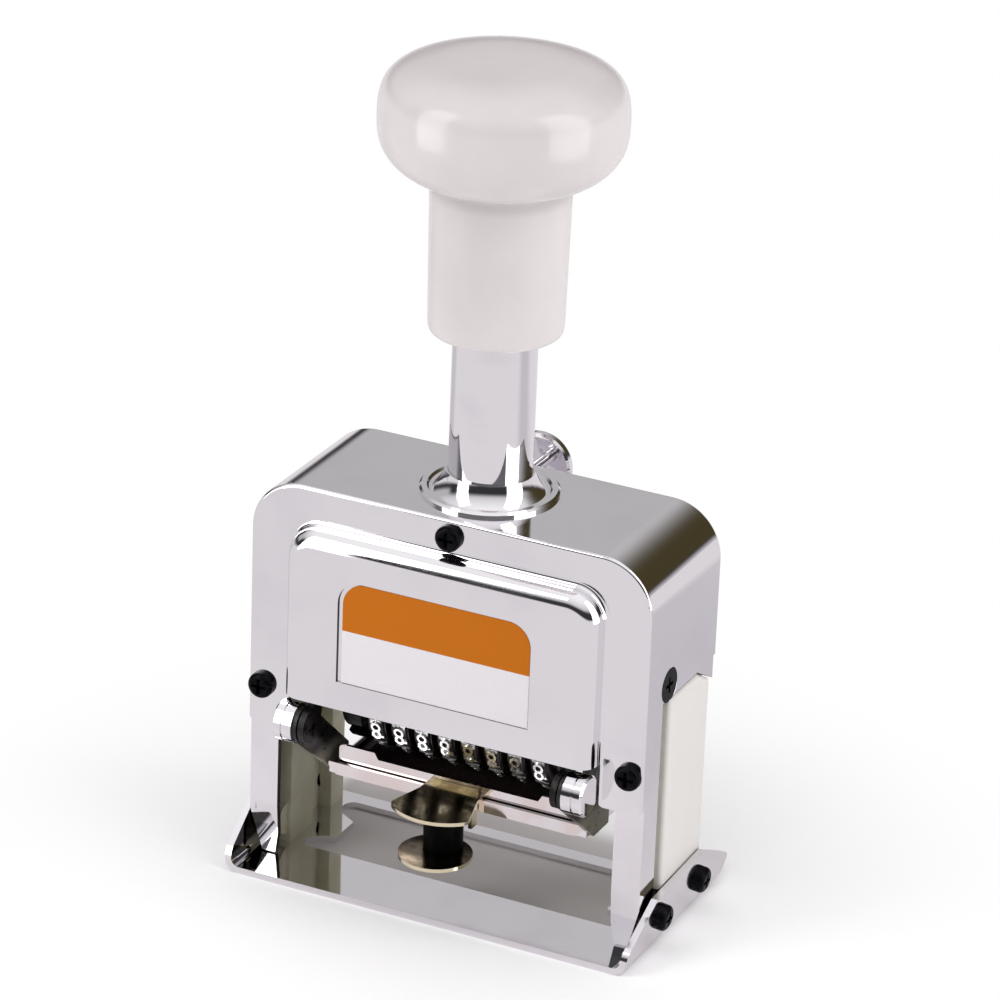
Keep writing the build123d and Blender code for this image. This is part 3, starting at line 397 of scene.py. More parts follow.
def duller_where(tree, shader, where, more):
    """Raise a finish's roughness in one part of it."""
    below = shader.inputs["Roughness"].links[0].from_socket
    raised = maths(tree, "ADD", below, maths(tree, "MULTIPLY", where, more))
    tree.links.new(raised, shader.inputs["Roughness"])


# %% [markdown]
# ## Polished chrome
#
# Chrome plate is metal with a faint cool tint and a very low roughness. Real plate is never quite
# even: fingers leave a thin haze, wiping leaves hairlines, and pressed sheet is slightly wavy. All
# three are small noises on colour, roughness and relief, because a perfect mirror would look like
# glass. Four kinds of plated part share one helper and differ in the sizes of these noises.

# %% Chrome plate
chrome_tint = (0.87, 0.855, 0.88, 1)
chrome_haze = (0.82, 0.80, 0.83, 1)
mirror_roughness = 0.035
haze_roughness = 0.11
hairline_roughness = 0.05
hairline_size = 2.0
wave_size = 14.0


def plated(name, haze_size, wave_depth, hairline_stretch):
    """Chrome plate with haze, hairlines and a slight waviness, sizes in millimetres."""
    material, tree, shader = new_material(name)
    shader.inputs["Metallic"].default_value = 1.0
    haze = noise(tree, haze_size, 4.0)
    tree.links.new(mottled(tree, haze, chrome_tint, chrome_haze, 0.45, 0.75),
                   shader.inputs["Base Color"])
    hairlines = noise(tree, hairline_size, 2.0, hairline_stretch)
    dullness = maths(tree, "ADD",
                     soft_step(tree, haze, 0.35, 0.75, mirror_roughness, haze_roughness),
                     soft_step(tree, hairlines, 0.5, 0.8, 0.0, hairline_roughness))
    tree.links.new(dullness, shader.inputs["Roughness"])
    relief(tree, shader, noise(tree, wave_size, 1.0), wave_depth)
    return material, tree, shader


# %% [markdown]
# The body shell and the covers are pressed sheet, bright outside, duller and painted near-black
# shade inside.
# Their solids are hollow, so a face is an inside one if it looks toward the middle of the case. The
# dot product of its normal with the way from that middle to the face is then below zero.

# %% Chrome of the pressed sheet
# painted shade: near-black colour for faces inside the case
painted_dark_inside = (0.035, 0.033, 0.033, 1)
inside_dullness = 0.35
inward_margin = -2 * MM
case_centre = (0, 0, 45 * MM)


def faces_inward(tree, centre, axes=(1, 1, 1)):
    """1 on faces of a hollow piece that look at its centre along some axes, else 0."""
    arm = tree.nodes.new("ShaderNodeVectorMath")
    arm.operation = "SUBTRACT"
    arm.inputs[1].default_value = [middle * used for middle, used in zip(centre, axes)]
    tree.links.new(object_place(tree, axes), arm.inputs[0])
    place = tree.nodes.new("ShaderNodeTexCoord")
    facing = tree.nodes.new("ShaderNodeVectorMath")
    facing.operation = "DOT_PRODUCT"
    tree.links.new(arm.outputs["Vector"], facing.inputs[0])
    tree.links.new(place.outputs["Normal"], facing.inputs[1])
    return soft_step(tree, facing.outputs["Value"], 0.0, inward_margin)


sheet_chrome, tree, shader = plated("sheet_chrome", 22.0, 0.05, (1, 1, 12))
inside = faces_inward(tree, case_centre)
# painted shade: the inside faces get the near-black colour
coloured_where(tree, shader, inside, painted_dark_inside)
duller_where(tree, shader, inside, inside_dullness)
finish_with(sheet_chrome, ["body_shell", "front_cover", "back_cover"])

# %% [markdown]
# The base plate is folded up into an ear at each side. Between the ears stand the dark works, and
# the ears' inward faces get the near-black inside colour as a painted reflection of them. The test
# for inward faces looks along X alone, and starts above the fold. The tray carrier and the lock
# bush have the same plating.

# %% Chrome of the base
ear_foot = 3 * MM
ear_foot_edge = 1 * MM

base_chrome, tree, shader = plated("base_chrome", 16.0, 0.04, (1, 14, 1))
ear = soft_step(tree, coordinate(tree, "Z"), ear_foot, ear_foot + ear_foot_edge)
ear_inside = maths(tree, "MULTIPLY", faces_inward(tree, (0, 0, 0), (1, 0, 0)), ear)
# painted reflection: the ears' inward faces are coloured near black for the dark works they mirror
coloured_where(tree, shader, ear_inside, painted_dark_inside)
finish_with(base_chrome, ["base_plate", "tray_carrier", "lock_bush"])

# %% [markdown]
# The ink tray is plated too, but ink has got everywhere: inside the tray it is black and dull, and
# a thin film of it warms the outside. The narrow gap between the lip and the apron is black and
# dull as well, ink and painted shade together. The depth and height of a point tell these places
# apart. The ink starts within the thickness of the lip's wall, where the change from clean to black
# isn't seen.

# %% Inked chrome of the tray
tray_stain = (0.80, 0.71, 0.69, 1)
# black of the ink, also used as painted shade in the gap behind the apron
ink_black_and_shade = (0.012, 0.004, 0.003, 1)
ink_dullness = 0.4
tray_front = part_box("ink_tray")[0].y
lip_ink_from = tray_front + 1.4 * MM
lip_ink_full = tray_front + 1.7 * MM
apron_back = tray_front + 0.7 * MM
apron_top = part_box("ink_pad")[1].z - 1.1 * MM
apron_edge = 0.05 * MM

tray_chrome, tree, shader = plated("tray_chrome", 10.0, 0.03, (14, 1, 1))
depth = coordinate(tree, "Y")
height = coordinate(tree, "Z")
in_tray = soft_step(tree, depth, lip_ink_from, lip_ink_full)
behind_apron = soft_step(tree, depth, apron_back - apron_edge, apron_back)
below_top = soft_step(tree, height, apron_top - 2 * apron_edge, apron_top, 1.0, 0.0)
# painted shade with ink: the narrow gap behind the apron is coloured black
gap_ink_and_shade = maths(tree, "MULTIPLY", behind_apron, below_top)
ink_and_gap_shade = maths(tree, "MAXIMUM", in_tray, gap_ink_and_shade)
stained = soft_step(tree, noise(tree, 8.0, 3.0), 0.2, 0.6)
coloured_where(tree, shader, stained, tray_stain)
coloured_where(tree, shader, ink_and_gap_shade, ink_black_and_shade)
duller_where(tree, shader, ink_and_gap_shade, ink_dullness)
finish_with(tray_chrome, ["ink_tray"])

# %% [markdown]
# The turned parts are plated as well. Their hairlines lie level, so that they run round the stem
# and the collar as the lathe left them.

# %% Chrome of turned parts
turned_chrome = plated("turned_chrome", 9.0, 0.02, (1, 1, 20))[0]
finish_with(turned_chrome, ["collar", "stem", "lock_knob"] + nodes_named("pivot_disc"))

# %% [markdown]
# ## Palm knob
#
# The knob is a glossy off-white moulding, and a gloss shows every crease, so it is modelled as one
# smooth turned body. A circle starts inside the bore for the stem and is extruded and widened ring
# by ring, out over the foot, up the neck, round the belly and over the crown, and a subdivision
# surface smooths it. The crown follows a superellipse, an ellipse with fuller shoulders.

# %% Helpers for modelling
def only(piece):
    """Select one piece and make it the active one."""
    bpy.ops.object.select_all(action="DESELECT")
    piece.select_set(True)
    bpy.context.view_layer.objects.active = piece


def settle(piece):
    """Put a piece's place, turn and scale into its mesh."""
    only(piece)
    bpy.ops.object.transform_apply(location=True, rotation=True, scale=True)


def raised_rings(rings, sides=48):
    """Turned body about the plunger's axis, through rings of (radius, height) in metres.

    The last ring is drawn together into the pole that closes the body.
    """
    radius, height = rings[0]
    bpy.ops.object.select_all(action="DESELECT")
    bpy.ops.mesh.primitive_circle_add(vertices=sides, radius=radius, location=(0, 0, height))
    body = bpy.context.object
    settle(body)
    bpy.ops.object.mode_set(mode="EDIT")
    bpy.ops.mesh.select_all(action="SELECT")
    for next_radius, next_height in rings[1:]:
        bpy.ops.mesh.extrude_region_move(
            TRANSFORM_OT_translate={"value": (0, 0, next_height - height)})
        bpy.ops.transform.resize(value=(next_radius / radius, next_radius / radius, 1),
                                 center_override=(0, 0, next_height))
        radius, height = next_radius, next_height
    bpy.ops.mesh.merge(type="CENTER")
    bpy.ops.mesh.select_all(action="SELECT")
    bpy.ops.mesh.normals_make_consistent(inside=False)
    bpy.ops.object.mode_set(mode="OBJECT")
    return body


# %% Knob body
knob_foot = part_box("handle")[0].z
belly_radius = 22.4
belly_height = 37.2
crown_rise = 13.0
crown_steps = 15
shoulder_fullness = 4.3
# Radius and height over the foot, in millimetres, from inside the bore out to the belly
neck_rings = [(7.75, 6.0), (7.75, 0.4), (8.0, 0.0), (11.2, 0.0), (12.0, 0.15), (12.3, 0.8),
              (12.35, 3.0), (12.55, 15.0), (12.7, 27.0), (12.85, 28.2), (13.9, 28.9),
              (16.4, 29.8), (19.2, 31.5), (21.4, 34.1)]
crown_rings = []
for number in range(crown_steps):
    turn = radians(90 * number / crown_steps)
    crown_rings.append((belly_radius * cos(turn) ** (2 / shoulder_fullness),
                        belly_height + crown_rise * sin(turn) ** (2 / shoulder_fullness)))
knob = raised_rings([(radius * MM, knob_foot + height * MM)
                     for radius, height in neck_rings + crown_rings])
knob.name = "palm_knob"
smooth = knob.modifiers.new("smooth_form", "SUBSURF")
smooth.levels = 2
smooth.render_levels = 2
bpy.ops.object.modifier_apply(modifier=smooth.name)
bpy.ops.object.shade_smooth()
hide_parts("handle")
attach(knob, "plunger")
print("knob", len(knob.data.polygons), "faces, top", max(v.co.z for v in knob.data.vertices))


# %% [markdown]
# The plastic is slightly cloudy in depth, a band of painted shade darkens the crease under the
# belly, the skin has a very fine orange peel, and a hairline where the two halves of the mould met
# runs round it in one upright plane.

# %% Glossy plastic of the knob
def screen_colour(red, green, blue):
    """Linear colour for the shader from screen values of 0 to 255."""
    return tuple(((value / 255 + 0.055) / 1.055) ** 2.4 for value in (red, green, blue)) + (1.0,)


knob_white = screen_colour(219, 212, 212)
knob_cloud = screen_colour(211, 204, 204)
knob_crease_shade = (0.36, 0.33, 0.32, 1)
crease_shade_most = 0.35
crease_height = knob_foot + 28.0 * MM
crease_middle = 0.2 * MM
crease_reach = 2.6 * MM
seam_width = 0.12 * MM
peel_share = 0.2

knob_plastic, tree, shader = new_material("glossy_knob_plastic")
tree.links.new(mottled(tree, noise(tree, 26.0, 3.0), knob_white, knob_cloud),
               shader.inputs["Base Color"])
from_crease = maths(tree, "ABSOLUTE", maths(tree, "SUBTRACT", coordinate(tree, "Z"),
                                            crease_height))
# painted shade: a darker band round the crease under the belly
painted_crease_shade = soft_step(tree, from_crease, crease_middle, crease_reach, crease_shade_most, 0.0)
coloured_where(tree, shader, painted_crease_shade, knob_crease_shade)
wandering_shine(tree, shader, noise(tree, 12.0, 3.0), 0.16, 0.24)
shader.inputs["Coat Weight"].default_value = 0.25
shader.inputs["Coat Roughness"].default_value = 0.08
from_seam = maths(tree, "ABSOLUTE", coordinate(tree, "Y"))
seam = soft_step(tree, from_seam, 0.0, seam_width, 1.0, 0.0)
peel = maths(tree, "MULTIPLY", noise(tree, 0.7, 2.0), peel_share)
relief(tree, shader, maths(tree, "ADD", seam, peel), 0.012)
knob.data.materials.append(knob_plastic)
print("knob crease at", round(crease_height, 4), "m")

# %% [markdown]
# ## Ivory side guides
#
# The side guides are moulded in ivory plastic with a fine matt grain. The ribs and grooves inside
# are painted a darker olive as shade, because the machine keeps light from them, and only the outer
# panels keep the plain ivory. A mix by the distance from the middle of the machine draws this: the
# change lies in the wall that parts the two.

# %% Ivory plastic
ivory_plain = screen_colour(218, 215, 211)
# painted shade: olive for the ribs and grooves inside
ivory_shade_olive = screen_colour(182, 179, 152)
shade_least = 0.75
panel_wall = 1.4 * MM
shade_edge = 0.3 * MM
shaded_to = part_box("side_guide_right")[1].x - panel_wall

guide_plastic, tree, shader = new_material("ivory_plastic")
from_middle = maths(tree, "ABSOLUTE", coordinate(tree, "X"))
# painted shade inside the panel wall, plain ivory outside it
outer_panel = soft_step(tree, from_middle, shaded_to - shade_edge, shaded_to)
inner_shade = soft_step(tree, noise(tree, 6.0, 3.0), 0.3, 0.7, shade_least, 1.0)
tree.links.new(blended(tree, inner_shade, ivory_plain, ivory_shade_olive), shader.inputs["Base Color"])
coloured_where(tree, shader, outer_panel, ivory_plain)
wandering_shine(tree, shader, noise(tree, 5.0, 3.0), 0.36, 0.5)
relief(tree, shader, noise(tree, 0.35, 2.0), 0.01)
finish_with(guide_plastic, nodes_named("side_guide"))

# %% [markdown]
# ## Black parts
#
# Screws are blackened steel: nearly black, a little glossy, with an uneven oil film that catches
# small glints. The specular level is turned far down, because a full one would grey them.

# %% Blackened screws
screw_blue_black = (0.002, 0.0017, 0.0025, 1)
screw_oiled = (0.008, 0.007, 0.010, 1)

screw_black, tree, shader = new_material("blackened_screws")
oil = noise(tree, 1.2, 3.0)
tree.links.new(mottled(tree, oil, screw_blue_black, screw_oiled, 0.4, 0.75),
               shader.inputs["Base Color"])
shader.inputs["Specular IOR Level"].default_value = 0.05
wandering_shine(tree, shader, oil, 0.15, 0.35)
relief(tree, shader, noise(tree, 0.4, 2.0), 0.02)
finish_with(screw_black, nodes_named("front_screws", "back_screws", "side_screws", "ear_screws"))

# %% [markdown]
# The post of the brass pull, the guide shoes and the spacers are black moulded plastic, which is
# duller. A fine grain, as a mould leaves it, roughens its shine and its skin together.

# %% Black plastic
plastic_black = (0.0015, 0.0014, 0.0014, 1)
plastic_worn = (0.004, 0.0035, 0.0035, 1)

black_plastic, tree, shader = new_material("black_plastic")
grain = noise(tree, 0.5, 2.0)
tree.links.new(mottled(tree, noise(tree, 4.0, 3.0), plastic_black, plastic_worn, 0.4, 0.7),
               shader.inputs["Base Color"])
shader.inputs["Specular IOR Level"].default_value = 0.04
wandering_shine(tree, shader, grain, 0.35, 0.5)
relief(tree, shader, grain, 0.01)
finish_with(black_plastic, ["pull_core", "ear_spacers"] + nodes_named("guide_shoe"))

# %% [markdown]
# ## Steel of the works
#
# Inside, nothing is polished. The arms of the ink cradle are blued sheet, black round the pivot
# and gone olive toward the tray. A mix by height draws the change, because at rest the arms
# hang from their pivots.

# %% Olive steel of the cradle's arms
arm_olive = (0.27, 0.255, 0.205, 1)
arm_pale_olive = (0.40, 0.38, 0.315, 1)
arm_black_top = (0.012, 0.010, 0.010, 1)
arm_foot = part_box("cradle_arm_right")[0].z
olive_to = arm_foot + 4.3 * MM
black_from = arm_foot + 7.3 * MM

arm_steel, tree, shader = new_material("olive_arm_steel")
film = noise(tree, 3.0, 3.0)
tree.links.new(mottled(tree, film, arm_olive, arm_pale_olive), shader.inputs["Base Color"])
# black over the olive above this height, toward the pivot
near_pivot = soft_step(tree, coordinate(tree, "Z"), olive_to, black_from)
coloured_where(tree, shader, near_pivot, arm_black_top)
shader.inputs["Metallic"].default_value = 0.3
wandering_shine(tree, shader, film, 0.26, 0.42)
relief(tree, shader, noise(tree, 0.6, 2.0, (1, 8, 1)), 0.01)
finish_with(arm_steel, nodes_named("cradle_arm"))

# %% [markdown]
# The carriage and what it carries are blackened steel, wet with ink and oil. One noise serves the
# colour, the shine and the relief, so that an inked patch is darker, glossier and lower at once.

# %% Inked black steel of the carriage
carriage_inked = (0.006, 0.005, 0.005, 1)
carriage_bare = (0.045, 0.040, 0.038, 1)

carriage_steel, tree, shader = new_material("inked_carriage_steel")
ink = noise(tree, 2.5, 4.0)
tree.links.new(mottled(tree, ink, carriage_inked, carriage_bare, 0.45, 0.8),
               shader.inputs["Base Color"])
shader.inputs["Metallic"].default_value = 0.5
wandering_shine(tree, shader, ink, 0.22, 0.5)
relief(tree, shader, ink, 0.03)
finish_with(carriage_steel, nodes_named("carriage_plate", "cradle_bracket", "axle_spacers")
            + ["pawl_yoke", "repeat_dial", "detent_comb"])

# %% [markdown]
# Rods, nuts and springs are bare drawn steel. The noise is drawn out along X, the way that the
# axle and the tie rods lie, and so looks like the marks of drawing.

# %% Bright drawn steel
steel_grey = (0.40, 0.395, 0.39, 1)
steel_bright = (0.56, 0.555, 0.55, 1)

drawn_steel, tree, shader = new_material("drawn_steel")
pull_marks = noise(tree, 1.0, 3.0, (0.15, 1, 1))
tree.links.new(mottled(tree, pull_marks, steel_grey, steel_bright), shader.inputs["Base Color"])
shader.inputs["Metallic"].default_value = 1.0
wandering_shine(tree, shader, pull_marks, 0.2, 0.38)
relief(tree, shader, pull_marks, 0.008)
finish_with(drawn_steel, ["collar_nut", "stem_plug", "stem_screw", "crosshead", "wheel_axle",
                          "tie_rods"] + nodes_named("return_spring", "spring_anchor"))

# %% [markdown]
# ## Brass pull
#
# The two brass lobes are bare metal that fingers have browned. The patina is brown over the bright
# metal by a noise, which also dulls the shine, and on the lower lobe it is painted darker as shade,
# because that lobe lies in shadow below the upper one. The raw cut edges stay bright, so on faces
# that look sideways the patina is taken back.

# %% Brass
brass_bright = (0.80, 0.72, 0.52, 1)
brass_brown = (0.125, 0.09, 0.042, 1)
# painted shade: darker brown for the lower lobe
brass_lower_shade = (0.050, 0.036, 0.018, 1)
patina_least = 0.6
lobe_margin = 0.4 * MM
lower_lobe_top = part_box("lower_tab")[1].z
upper_lobe_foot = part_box("pull_tab")[0].z

brass, tree, shader = new_material("browned_brass")
patina = noise(tree, 5.0, 4.0)
facing = tree.nodes.new("ShaderNodeTexCoord")
way = tree.nodes.new("ShaderNodeSeparateXYZ")
tree.links.new(facing.outputs["Normal"], way.inputs["Vector"])
flatness = soft_step(tree, maths(tree, "ABSOLUTE", way.outputs["Z"]), 0.05, 0.35)
spread = soft_step(tree, patina, 0.3, 0.6, patina_least, 1.0)
browned = maths(tree, "MULTIPLY", spread, flatness)
# painted shade: the patina is darker on the lower lobe
shaded_lower_lobe = soft_step(tree, coordinate(tree, "Z"), lower_lobe_top + lobe_margin,
                       upper_lobe_foot - lobe_margin, 1.0, 0.0)
patina_and_shade = blended(tree, shaded_lower_lobe, brass_brown, brass_lower_shade)
tree.links.new(blended(tree, browned, brass_bright, patina_and_shade), shader.inputs["Base Color"])
shader.inputs["Metallic"].default_value = 1.0
wandering_shine(tree, shader, patina, 0.12, 0.26)
relief(tree, shader, noise(tree, 1.5, 3.0, (1, 0.3, 1)), 0.01)
finish_with(brass, ["pull_tab", "lower_tab"])

# %% [markdown]
# ## Label plate
#
# The label is a thin printed plate in the recess of the front panel: an orange band above and
# white below, and nothing printed on them. The line between the two is crisp. Print has a very
# fine grain, and the varnish over it is a little uneven.

# %% Label plate
label_orange = screen_colour(194, 106, 4)
label_white = screen_colour(228, 225, 229)
print_speck = (0.40, 0.25, 0.10, 1)
speck_most = 0.05
print_grain = 0.3
band_edge = 0.03 * MM
band_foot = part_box("label_plate")[1].z - 9.8 * MM

label, tree, shader = new_material("printed_label")
band = soft_step(tree, coordinate(tree, "Z"), band_foot - band_edge, band_foot + band_edge)
tree.links.new(blended(tree, band, label_white, label_orange), shader.inputs["Base Color"])
specks = soft_step(tree, noise(tree, print_grain, 2.0), 0.3, 0.8, 0.0, speck_most)
coloured_where(tree, shader, specks, print_speck)
shader.inputs["Specular IOR Level"].default_value = 0.12
wandering_shine(tree, shader, noise(tree, 8.0, 3.0), 0.32, 0.44)
relief(tree, shader, noise(tree, print_grain, 2.0), 0.004)
finish_with(label, ["label_plate"])

# %% [markdown]
# ## Number wheels
#
# A number wheel is a die-cast ring with ten raised figures in mirror writing and a ratchet beside
# them. All wheels are alike, so one is modelled from a ring, a ratchet, ten type blocks and ten
# figures, and is then copied along the axle.

# %% Sizes of a number wheel
wheel_low, wheel_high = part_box("number_wheel_1")
wheel_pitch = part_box("number_wheel_2")[0].x - wheel_low.x
axle_height = (wheel_low.z + wheel_high.z) / 2
wheel_radius = (wheel_high.z - wheel_low.z) / 2
digits = 10
ring_width = 3.5 * MM
ring_radius = 8.6 * MM
ring_land = 0.25 * MM
bore_radius = 2.05 * MM
ring_middle = wheel_low.x + ring_width / 2
print("wheel radius", wheel_radius, "pitch", wheel_pitch)


# %% Helpers for the wheels
def pick_faces(piece, wanted):
    """Select, in edit mode, the faces for which wanted(face) holds."""
    bpy.ops.object.mode_set(mode="EDIT")
    bpy.ops.mesh.select_mode(type="FACE")
    bpy.ops.mesh.select_all(action="DESELECT")
    bpy.ops.object.mode_set(mode="OBJECT")
    for face in piece.data.polygons:
        face.select = wanted(face)
    bpy.ops.object.mode_set(mode="EDIT")


def turned_copy(piece, angle):
    """Copy of a piece, turned about the wheels' axle."""
    copy = piece.copy()
    copy.data = piece.data.copy()
    bpy.context.collection.objects.link(copy)
    axle = Matrix.Translation((0, 0, axle_height))
    copy.data.transform(axle @ Matrix.Rotation(angle, 4, "X") @ axle.inverted())
    return copy


def joined(pieces, name):
    """Join pieces into the first one, with clean outward faces."""
    only(pieces[0])
    for piece in pieces:
        piece.select_set(True)
    bpy.ops.object.join()
    piece = bpy.context.object
    piece.name = name
    bpy.ops.object.mode_set(mode="EDIT")
    bpy.ops.mesh.select_all(action="SELECT")
    bpy.ops.mesh.remove_doubles(threshold=0.0005 * MM)
    bpy.ops.mesh.normals_make_consistent(inside=False)
    bpy.ops.object.mode_set(mode="OBJECT")
    bpy.ops.object.shade_smooth_by_angle(angle=radians(30))
    return piece


# %% [markdown]
# The ring carries the type. It is a cylinder lying along the axle. Its ends are inset twice, by a
# narrow land and then down to the bore, and the two innermost faces are bridged, which opens the
# bore right through.

# %% Ring of the wheel
bpy.ops.object.select_all(action="DESELECT")
bpy.ops.mesh.primitive_cylinder_add(vertices=60, radius=ring_radius, depth=ring_width,
                                    location=(ring_middle, 0, axle_height),
                                    rotation=(0, pi / 2, 0))
ring = bpy.context.object
settle(ring)
pick_faces(ring, lambda face: abs(face.normal.x) > 0.9)
bpy.ops.mesh.inset(thickness=ring_land, depth=0)
bpy.ops.mesh.inset(thickness=ring_radius - bore_radius - ring_land, depth=0)
bpy.ops.mesh.bridge_edge_loops()
bpy.ops.object.mode_set(mode="OBJECT")
print("ring", len(ring.data.polygons), "faces")

# %% [markdown]
# Beside the ring is the ratchet that the pawl pushes, with one tooth for each figure. A cylinder
# with two sides for each tooth has every second corner pulled in to a root, and the roots turned
# a little, so that each tooth gets a steep side and a flat one.

# %% Ratchet
ratchet_radius = 8.0 * MM
tooth_depth = 1.1 * MM
tooth_lean = radians(14)
ratchet_left = wheel_low.x + ring_width
ratchet_width = wheel_high.x - ratchet_left

bpy.ops.object.select_all(action="DESELECT")
bpy.ops.mesh.primitive_cylinder_add(vertices=2 * digits, radius=ratchet_radius,
                                    depth=ratchet_width,
                                    location=(ratchet_left + ratchet_width / 2, 0, axle_height),
                                    rotation=(0, pi / 2, 0))
ratchet = bpy.context.object
settle(ratchet)
root_scale = 1 - tooth_depth / ratchet_radius
for corner in ratchet.data.vertices:
    turn = Vector((corner.co.y, corner.co.z - axle_height)).angle_signed(Vector((1, 0)))
    corner.select = round(turn / (pi / digits)) % 2 == 1
bpy.ops.object.mode_set(mode="EDIT")
bpy.ops.mesh.select_mode(type="VERT")
bpy.ops.transform.resize(value=(1, root_scale, root_scale),
                         center_override=(ratchet_left, 0, axle_height))
bpy.ops.transform.rotate(value=tooth_lean, orient_axis="X",
                         center_override=(ratchet_left, 0, axle_height))
bpy.ops.object.mode_set(mode="OBJECT")
print("ratchet", len(ratchet.data.vertices), "corners")

# %% [markdown]
# Each figure stands on a block. One block is made at the bottom of the ring, where the figure that
# prints stands. Its outer face is inset and raised, which gives the block a sloping shoulder as a
# casting has.

# %% Type block
block_width = 2.8 * MM
block_breadth = 4.4 * MM
block_height = 2.0 * MM
block_top = 8.75 * MM
block_shoulder = 0.2 * MM
block_step = 0.15 * MM

bpy.ops.object.select_all(action="DESELECT")
bpy.ops.mesh.primitive_cube_add(
    size=1, location=(ring_middle, 0, axle_height - block_top + block_height / 2),
    scale=(block_width, block_breadth, block_height))
block = bpy.context.object
settle(block)
pick_faces(block, lambda face: face.normal.z < -0.9)
bpy.ops.mesh.inset(thickness=block_shoulder, depth=block_step)
bpy.ops.object.mode_set(mode="OBJECT")
print("type block", len(block.data.polygons), "faces")

# %% [markdown]
# The figures are text made a mesh, narrowed a little as type is. The text lies face up at the
# bottom of the ring, so from below, as the paper meets it, it is in mirror writing.

# %% Figures
figure_height = 3.9 * MM
# A digit of the built-in font is this share of its type size high
figure_share = 0.7
figure_narrowing = 0.82

figures = []
for digit in range(digits):
    bpy.ops.object.text_add(location=(ring_middle, 0, axle_height - block_top))
    figure = bpy.context.object
    figure.data.body = str(digit)
    figure.data.align_x = "CENTER"
    figure.data.align_y = "CENTER"
    figure.data.size = figure_height / figure_share
    figure.data.extrude = wheel_radius - block_top
    figure.data.resolution_u = 4
    only(figure)
    bpy.ops.object.convert(target="MESH")
    figure = bpy.context.object
    figure.scale = (figure_narrowing, 1, 1)
    settle(figure)
    figures.append(figure)
print("figures", len(figures), "height", figures[0].dimensions.y)

# %% [markdown]
# A wheel is one casting, so its pieces are joined into one mesh once each block and each figure is
# turned on by its tenth of a turn. The other wheels are copies along the axle, each with a mesh of
# its own, because every wheel rides on its own body.

# %% One whole wheel, then its copies
tenth = 2 * pi / digits
rim = [turned_copy(block, tenth * place) for place in range(digits)]
rim += [turned_copy(figure, tenth * place) for place, figure in enumerate(figures)]
for spare in [block] + figures:
    bpy.data.objects.remove(spare)
first_wheel = joined([ring, ratchet] + rim, "type_wheel_1")
wheels = [first_wheel]
for index in range(1, len(nodes_named("number_wheel"))):
    wheel = first_wheel.copy()
    wheel.data = first_wheel.data.copy()
    wheel.name = "type_wheel_" + str(index + 1)
    wheel.data.transform(Matrix.Translation((index * wheel_pitch, 0, 0)))
    bpy.context.collection.objects.link(wheel)
    wheels.append(wheel)
print(len(wheels), "wheels of", len(first_wheel.data.polygons), "faces")

# %% [markdown]
# The figures' faces are kept bright by the paper, and everything below them holds black ink. The
# distance from the axle tells the two apart, so one finish serves the whole wheel, and a noise
# lets the ink creep up here and there.

# %% Inked type metal
wheel_ink = (0.012, 0.008, 0.007, 1)
wheel_bright = (0.92, 0.92, 0.91, 1)
ink_roughness = 0.35
bright_roughness = 0.2
ink_creep = 0.1 * MM
inked_to = 8.95 * MM
bright_from = 9.15 * MM

type_metal, tree, shader = new_material("inked_type_metal")
up = maths(tree, "SUBTRACT", coordinate(tree, "Z"), axle_height)
distance = maths(tree, "SQRT", maths(tree, "ADD", maths(tree, "POWER", coordinate(tree, "Y"), 2),
                                     maths(tree, "POWER", up, 2)))
creep = soft_step(tree, noise(tree, 1.5, 3.0), 0.3, 0.7, -ink_creep, ink_creep)
bare = soft_step(tree, maths(tree, "ADD", distance, creep), inked_to, bright_from)
tree.links.new(blended(tree, bare, wheel_ink, wheel_bright), shader.inputs["Base Color"])
tree.links.new(bare, shader.inputs["Metallic"])
tree.links.new(soft_step(tree, bare, 0.0, 1.0, ink_roughness, bright_roughness),
               shader.inputs["Roughness"])
relief(tree, shader, noise(tree, 0.5, 3.0), 0.02)
for index, wheel in enumerate(wheels):
    wheel.data.materials.append(type_metal)
    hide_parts("number_wheel_" + str(index + 1))
    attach(wheel, "wheel_" + str(index + 1))
print("wheels bright beyond", bright_from, "m from the axle")

# %% [markdown]
# ## Felt ink pad
#
# The pad is a strip of thick felt, soaked with ink, that lies in the tray. A block with rounded
# corners is divided finely and pressed in unevenly by two soft noises, so its top is not flat and
# its edges are ragged.

# %% Felt pad
pad_low, pad_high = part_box("ink_pad")
pad_corner = 0.3 * MM

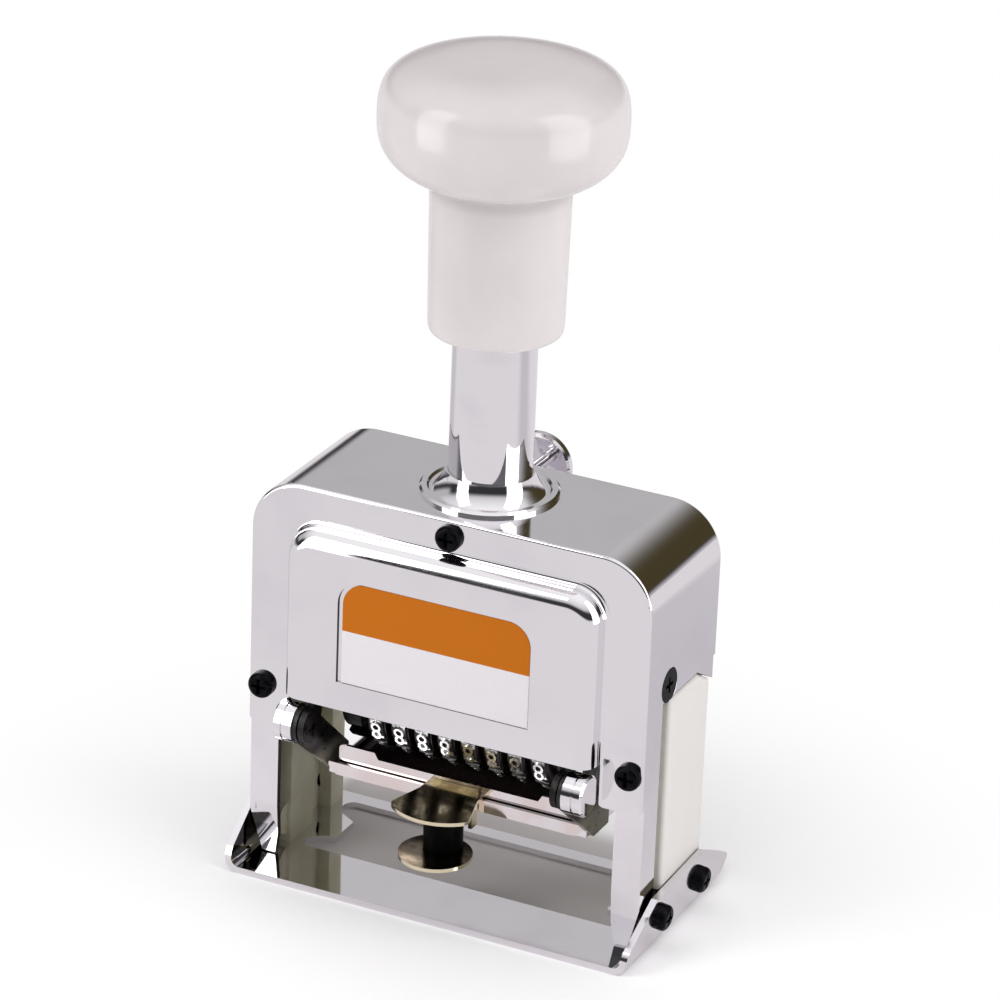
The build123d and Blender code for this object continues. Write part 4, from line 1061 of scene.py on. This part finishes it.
bpy.ops.object.select_all(action="DESELECT")
bpy.ops.mesh.primitive_cube_add(size=1, location=(pad_low + pad_high) / 2,
                                scale=pad_high - pad_low)
pad = bpy.context.object
pad.name = "felt_pad"
settle(pad)
bpy.ops.object.mode_set(mode="EDIT")
bpy.ops.mesh.select_all(action="SELECT")
bpy.ops.mesh.bevel(offset=pad_corner, segments=3)
bpy.ops.mesh.select_all(action="SELECT")
bpy.ops.mesh.subdivide(number_cuts=4)
bpy.ops.mesh.subdivide(number_cuts=4)
bpy.ops.object.mode_set(mode="OBJECT")
for lumps_name, grain, depth in (("pressed_hollows", 6.0, 0.22), ("fibre_tufts", 0.9, 0.12)):
    lumps = bpy.data.textures.new(lumps_name, "CLOUDS")
    lumps.noise_scale = grain * MM
    press = pad.modifiers.new(lumps_name, "DISPLACE")
    press.texture = lumps
    press.texture_coords = "LOCAL"
    press.strength = depth * MM
    press.mid_level = 1.0
    bpy.ops.object.modifier_apply(modifier=press.name)
bpy.ops.object.shade_smooth_by_angle(angle=radians(50))
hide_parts("ink_pad")
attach(pad, "tray")
print("felt pad", len(pad.data.polygons), "faces")

# %% [markdown]
# Soaked felt is nearly black with a breath of red. Its fibres lie across the strip, so the noise
# for them is drawn out that way, and it gives both the colour and the relief. Wet patches are a
# little smoother, and a faint sheen stands for the fibres' ends.

# %% Inked felt
felt_soaked = (0.008, 0.0015, 0.0008, 1)
felt_fibre = (0.022, 0.005, 0.003, 1)
fibre_size = 0.5

felt, tree, shader = new_material("inked_felt")
fibres = noise(tree, fibre_size, 4.0, (1, 0.35, 1))
tree.links.new(mottled(tree, fibres, felt_soaked, felt_fibre), shader.inputs["Base Color"])
shader.inputs["Specular IOR Level"].default_value = 0.2
wet = noise(tree, 7.0, 3.0)
tree.links.new(soft_step(tree, wet, 0.35, 0.65, 0.6, 0.95), shader.inputs["Roughness"])
shader.inputs["Sheen Weight"].default_value = 0.03
relief(tree, shader, fibres, 0.15)
pad.data.materials.append(felt)
print("felt fibres", fibre_size, "mm wide")
